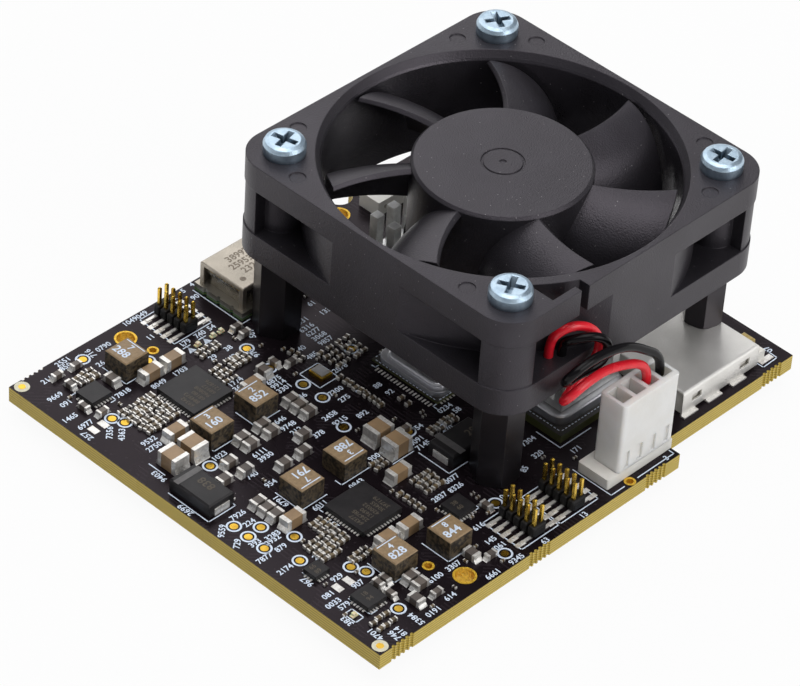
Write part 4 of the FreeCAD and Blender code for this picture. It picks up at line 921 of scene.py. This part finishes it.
# Pin headers. Black mouldings, notched between their ways, hold square gold plated posts, whose tails
# bend out under the moulding and end in tinned feet on the board.
strip_pitch = 1.27
strip_ways = 5
strip_floor = 0.2
block_size = (2.5, 1.04, 1.6)
block_bevel = 0.24
spine_size = (1.8, 6.2, 1.0)
post_start = 0.32
foot_land = (1.5, 0.72)
foot_tone = (0.78, 0.76, 0.72)
foot_metal = 0.5
strip_plastic = finish("strip_plastic", (0.007, 0.0065, 0.0065), (0.011, 0.01, 0.01), 1.0, 0.46,
                       depth=0.006, specular=0.25, edge=0.1)
posts = finish("gold_posts", (0.82, 0.56, 0.09), (0.68, 0.43, 0.06), 0.5, 0.24, grain=0.12, depth=0.006,
               metallic=1.0, edge=0.05)
tree = posts.node_tree
foot = calc(tree, "LESS_THAN", axis_value(tree, 2), board_corner.z + post_start * mm)
gilt, own = fed(posts)
link(tree, (two_tones(tree, foot, gilt, foot_tone), own),
     (calc(tree, "MULTIPLY_ADD", foot, foot_metal - 1.0, 1.0), shader_of(posts).inputs["Metallic"]))
lands = []
for strip in ("front_left_strip", "front_right_strip", "back_strip"):
    low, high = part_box(strip + "_body")
    center = ((low + high) / 2 - board_corner) / mm
    block = slab(*block_size)
    edit()
    bpy.ops.mesh.bevel(offset=block_bevel * mm, segments=2)
    leave_edit()
    ways = [center.y + strip_pitch * (way - (strip_ways - 1) / 2) for way in range(strip_ways)]
    moulding = settled(strip + "_moulding", twins(block, [(center.x, y) for y in ways], strip_floor)
                       + twins(slab(*spine_size), [(center.x, center.y)], strip_floor),
                       strip_plastic)
    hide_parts(strip + "_body")
    dress(posts, strip + "_pins")
    for low, high in solids_of(strip + "_pins"):
        end = low.x if (low.x + high.x) / 2 < center.x else high.x
        lands.append((end, (low.y + high.y) / 2))
settled("strip_lands", twins(slab(*foot_land, land_thickness), lands), tin)

# Shield can. Folded nickel silver sheet, faintly orange-peeled by the solder oven, over a moulded
# insulator, with a brass lug in its nose and a tinned land at its right end.
lug_land = (2.4, 0.9)
lug_place = (78.4, 5.0)
dress(finish("can_nickel", (0.92, 0.9, 0.86), (0.82, 0.8, 0.76), 5.0, 0.4, smudge=0.05, grain=0.22,
             depth=0.03, metallic=0.72, edge=0.2), "shield_can")
dress(finish("aged_brass", (0.52, 0.4, 0.17), (0.4, 0.3, 0.11), 0.5, 0.42, smudge=0.08, grain=0.12,
             depth=0.01, metallic=0.8), "edge_contact")
settled("lug_land", twins(slab(*lug_land, land_thickness), [lug_place]), tin)

# Oscillator module. A green laminate with plated half holes carries the oven block and a drawn cover,
# whose top has a faint printed number and a dot for its first contact.
green_look = ((0.014, 0.075, 0.038), (0.02, 0.1, 0.05), 1.5, 0.34, 0.05)
module_layers = 4
module_thickness = 1.25
solder_line = 0.45
plated_tone = (0.42, 0.39, 0.33)
plated_metal = 0.8
cover_rows = [(2.6, 5.4, 7), (1.9, 3.9, 8), (2.7, 2.4, 5)]
cover_row_size = 1.6
cover_ink_lift = 0.01
first_dot_place = (1.6, 1.7)
first_dot = (0.45, 0.005)
cover_low, cover_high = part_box("oscillator_cover")
cover_corner = (cover_low - board_corner) / mm
cover_top = (cover_high - board_corner).z / mm
dress(finish("green_laminate", *green_look), "fan_motor_board")
module_laminate = finish("module_laminate", *green_look)
laminate_edges(module_laminate, module_layers, module_thickness, (0.02, 0.17, 0.07), (0.26, 0.25, 0.1))
tree = module_laminate.node_tree
plated = calc(tree, "GREATER_THAN", axis_value(tree, 2), board_corner.z + solder_line * mm)
edges, own = fed(module_laminate)
link(tree, (two_tones(tree, plated, edges, plated_tone), own),
     (calc(tree, "MULTIPLY", plated, plated_metal), shader_of(module_laminate).inputs["Metallic"]))
dress(module_laminate, "oscillator_substrate")
dress(finish("oven_block", (0.52, 0.49, 0.43), (0.36, 0.33, 0.28), 1.4, 0.26, smudge=0.08, depth=0.02,
             metallic=0.85, edge=0.08), "oscillator_core")
dress(finish("warm_nickel", (0.51, 0.46, 0.39), (0.43, 0.39, 0.33), 3.5, 0.46, depth=0.02, metallic=0.85,
             edge=0.15), "oscillator_cover")
faint = finish("faint_print", (0.3, 0.25, 0.19), (0.26, 0.21, 0.16), 0.8, 0.6, smudge=0.04, grain=0.1,
               depth=0.002)
rows = [number(cover_corner.x + x, cover_corner.y + y, count, 0, cover_top + cover_ink_lift,
               cover_row_size) for x, y, count in cover_rows]
dot_place = (cover_corner.x + first_dot_place[0], cover_corner.y + first_dot_place[1])
settled("oscillator_print", printed(rows) + twins(disc(*first_dot), [dot_place], cover_top), faint)

# Fan connector. A natural nylon crimp housing, milky where the light gets into it, pushed onto a cream
# header with a lock wall.
nylon = finish("housing_nylon", (0.84, 0.83, 0.8), (0.8, 0.785, 0.745), 3.0, 0.4, grain=0.5, depth=0.012,
               edge=0.2)
translucent(nylon, 0.7, 1.5, (1.0, 0.94, 0.85))
dress(nylon, "crimp_housing")

# Standoffs and screws. Black moulded nylon hexagons, and zinc plated pan head screws with a faint blue
# passivation, and painted shade, from ambient occlusion, down in the cross recess.
recess_reach = 0.9
recess_range = (0.35, 0.85)
recess_shade_strength = 0.85
recess_shade_tone = (0.045, 0.06, 0.08)
plastic_tint = (0.98, 0.89, 1.0)
dress(finish("standoff_plastic", (0.007, 0.006, 0.007), (0.01, 0.009, 0.01), 3.0, 0.32, smudge=0.05,
             grain=0.3, depth=0.01, edge=0.12, dust=0.12, tint=plastic_tint),
      "long_standoffs", "short_standoff")
zinc = finish("zinc_plate", (0.5, 0.62, 0.72), (0.4, 0.52, 0.63), 0.8, 0.36, smudge=0.08, grain=0.25,
              depth=0.02, metallic=0.95, edge=0.18)
tree = zinc.node_tree
# Painted shade: ambient occlusion darkens the zinc towards a dark blue-grey down in the cross recess.
hollow = tree.nodes.new("ShaderNodeAmbientOcclusion")
hollow.inputs["Distance"].default_value = recess_reach * mm
shade = remap(tree, hollow.outputs["AO"], recess_range, (recess_shade_strength, 0.0))
bright, own = fed(zinc)
link(tree, (two_tones(tree, shade, bright, recess_shade_tone), own))
dress(zinc, "fan_screws", "board_screws", "long_board_screw")

# Fan frame. One moulding of glass filled black plastic, satin outside and glossier down the bore, with a
# fine grain and sparse dust.
bore_wall_radius = 23.5
bore_wall_slack = 0.2
bore_gloss = 0.45
fan_low, fan_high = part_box("fan_frame")
fan_middle = (fan_low + fan_high) / 2
fan_plastic = finish("fan_plastic", (0.016, 0.0145, 0.017), (0.022, 0.0205, 0.024), 6.0, 0.4, smudge=0.05,
                     grain=0.22, depth=0.045, edge=0.22, dust=0.35, tint=plastic_tint)
dress(fan_plastic, "fan_frame")
tree = fan_plastic.node_tree
across = calc(tree, "SUBTRACT", axis_value(tree, 0), fan_middle.x)
along = calc(tree, "SUBTRACT", axis_value(tree, 1), fan_middle.y)
reach = calc(tree, "SQRT", calc(tree, "ADD", calc(tree, "MULTIPLY", across, across),
                                calc(tree, "MULTIPLY", along, along)))
wall = calc(tree, "COMPARE", reach, bore_wall_radius * mm, bore_wall_slack * mm)
kept = calc(tree, "SUBTRACT", 1.0, calc(tree, "MULTIPLY", wall, bore_gloss))
satin, own = fed(fan_plastic, "Roughness")
link(tree, (calc(tree, "MULTIPLY", satin, kept), own))

# Motor. Hidden in the hub: laminated core, copper coils, driver board, bronze bearing, ground steel shaft
# and a ring magnet.
dress(finish("core_steel", (0.34, 0.34, 0.35), (0.26, 0.26, 0.27), 1.0, 0.4, grain=0.12, depth=0.01,
             metallic=1.0), "fan_stator_core", "fan_shaft")
dress(finish("copper_coil", (0.62, 0.24, 0.09), (0.5, 0.18, 0.06), 0.5, 0.34, grain=0.1, depth=0.02,
             metallic=1.0), "fan_stator_coils")
dress(finish("sintered_bronze", (0.42, 0.28, 0.14), (0.34, 0.22, 0.1), 0.6, 0.55, grain=0.1, depth=0.01,
             metallic=1.0), "fan_bearing")
dress(finish("magnet", (0.07, 0.065, 0.065), (0.05, 0.046, 0.046), 1.0, 0.7, grain=0.15, depth=0.01),
      "fan_magnet_ring")

# Fan rotor. Hub and seven swept blades in one black moulding, a little smoother than the frame.
dress(finish("rotor_plastic", (0.016, 0.0145, 0.017), (0.021, 0.0195, 0.023), 5.0, 0.38, smudge=0.05,
             grain=0.22, depth=0.045, edge=0.2, dust=0.45, tint=plastic_tint), "fan_rotor")

# Fan wires. Two soft stranded leads, one red and one black, each of one length of extruded insulation.
# They leave the lower flange, loop in front of the fan and are crimped into the third and fourth slots.
wire_diameter = 1.25
red_route = [
    (40.4, 11.3, 18.0), (40.4, 11.3, 19.9), (40.3, 10.3, 22.3), (42.2, 9.3, 23.2), (44.6, 8.5, 22.2),
    (46.1, 7.9, 20.0), (46.1, 7.8, 18.0), (45.1, 7.8, 16.5), (43.3, 7.8, 15.5), (41.38, 7.52, 14.74),
    (39.65, 7.15, 14.23), (38.53, 6.65, 14.49), (37.95, 5.95, 15.31), (38.15, 5.23, 16.35),
    (39.23, 4.81, 17.27), (41.4, 4.8, 17.6), (44.2, 4.8, 17.6), (47.3, 4.6, 16.8), (49.9, 4.2, 15.9),
    (51.52, 3.9, 14.1), (51.52, 3.9, 12.0)]
black_route = [
    (41.9, 10.4, 18.0), (41.9, 10.4, 19.5), (41.3, 9.4, 21.1), (42.5, 8.1, 21.7), (43.9, 7.0, 21.9),
    (45.3, 6.3, 21.1), (45.81, 6.07, 19.5), (45.03, 6.09, 17.98), (43.2, 6.27, 17.46), (40.86, 6.44, 17.72),
    (38.97, 6.45, 17.62), (37.85, 6.14, 18.14), (37.36, 5.58, 19.13), (37.71, 4.98, 20.24),
    (38.96, 4.61, 21.05), (41.7, 4.5, 21.3), (45.0, 4.4, 20.8), (48.4, 4.4, 19.4), (51.2, 4.2, 17.3),
    (53.3, 4.0, 15.6), (54.06, 3.9, 13.6), (54.06, 3.9, 12.0)]


def lay_wire(name, route, insulation):
    """One wire as a smooth curve through its route, from the flange to its crimp contact."""
    line = bpy.data.curves.new(name + "_lead", "CURVE")
    line.dimensions = "3D"
    line.resolution_u = 8
    line.bevel_depth = wire_diameter / 2 * mm
    line.bevel_resolution = 6
    line.use_fill_caps = True
    spline = line.splines.new("NURBS")
    spline.points.add(len(route) - 1)
    for point, place in zip(spline.points, route):
        point.co = (*at(*place), 1.0)
    spline.order_u = 3
    spline.use_endpoint_u = True
    wire = bpy.data.objects.new(name + "_lead", line)
    bpy.context.scene.collection.objects.link(wire)
    line.materials.append(insulation)
    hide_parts(name)
    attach(wire, "board")
    return wire


red_insulation = finish("red_insulation", (0.84, 0.014, 0.03), (0.72, 0.01, 0.022), 2.0, 0.24, smudge=0.05,
                        grain=0.3)
black_insulation = finish("black_insulation", (0.004, 0.0035, 0.004), (0.006, 0.005, 0.006), 2.0, 0.16,
                          smudge=0.05, grain=0.3, specular=0.14)
lay_wire("red_wire", red_route, red_insulation)
lay_wire("black_wire", black_route, black_insulation)
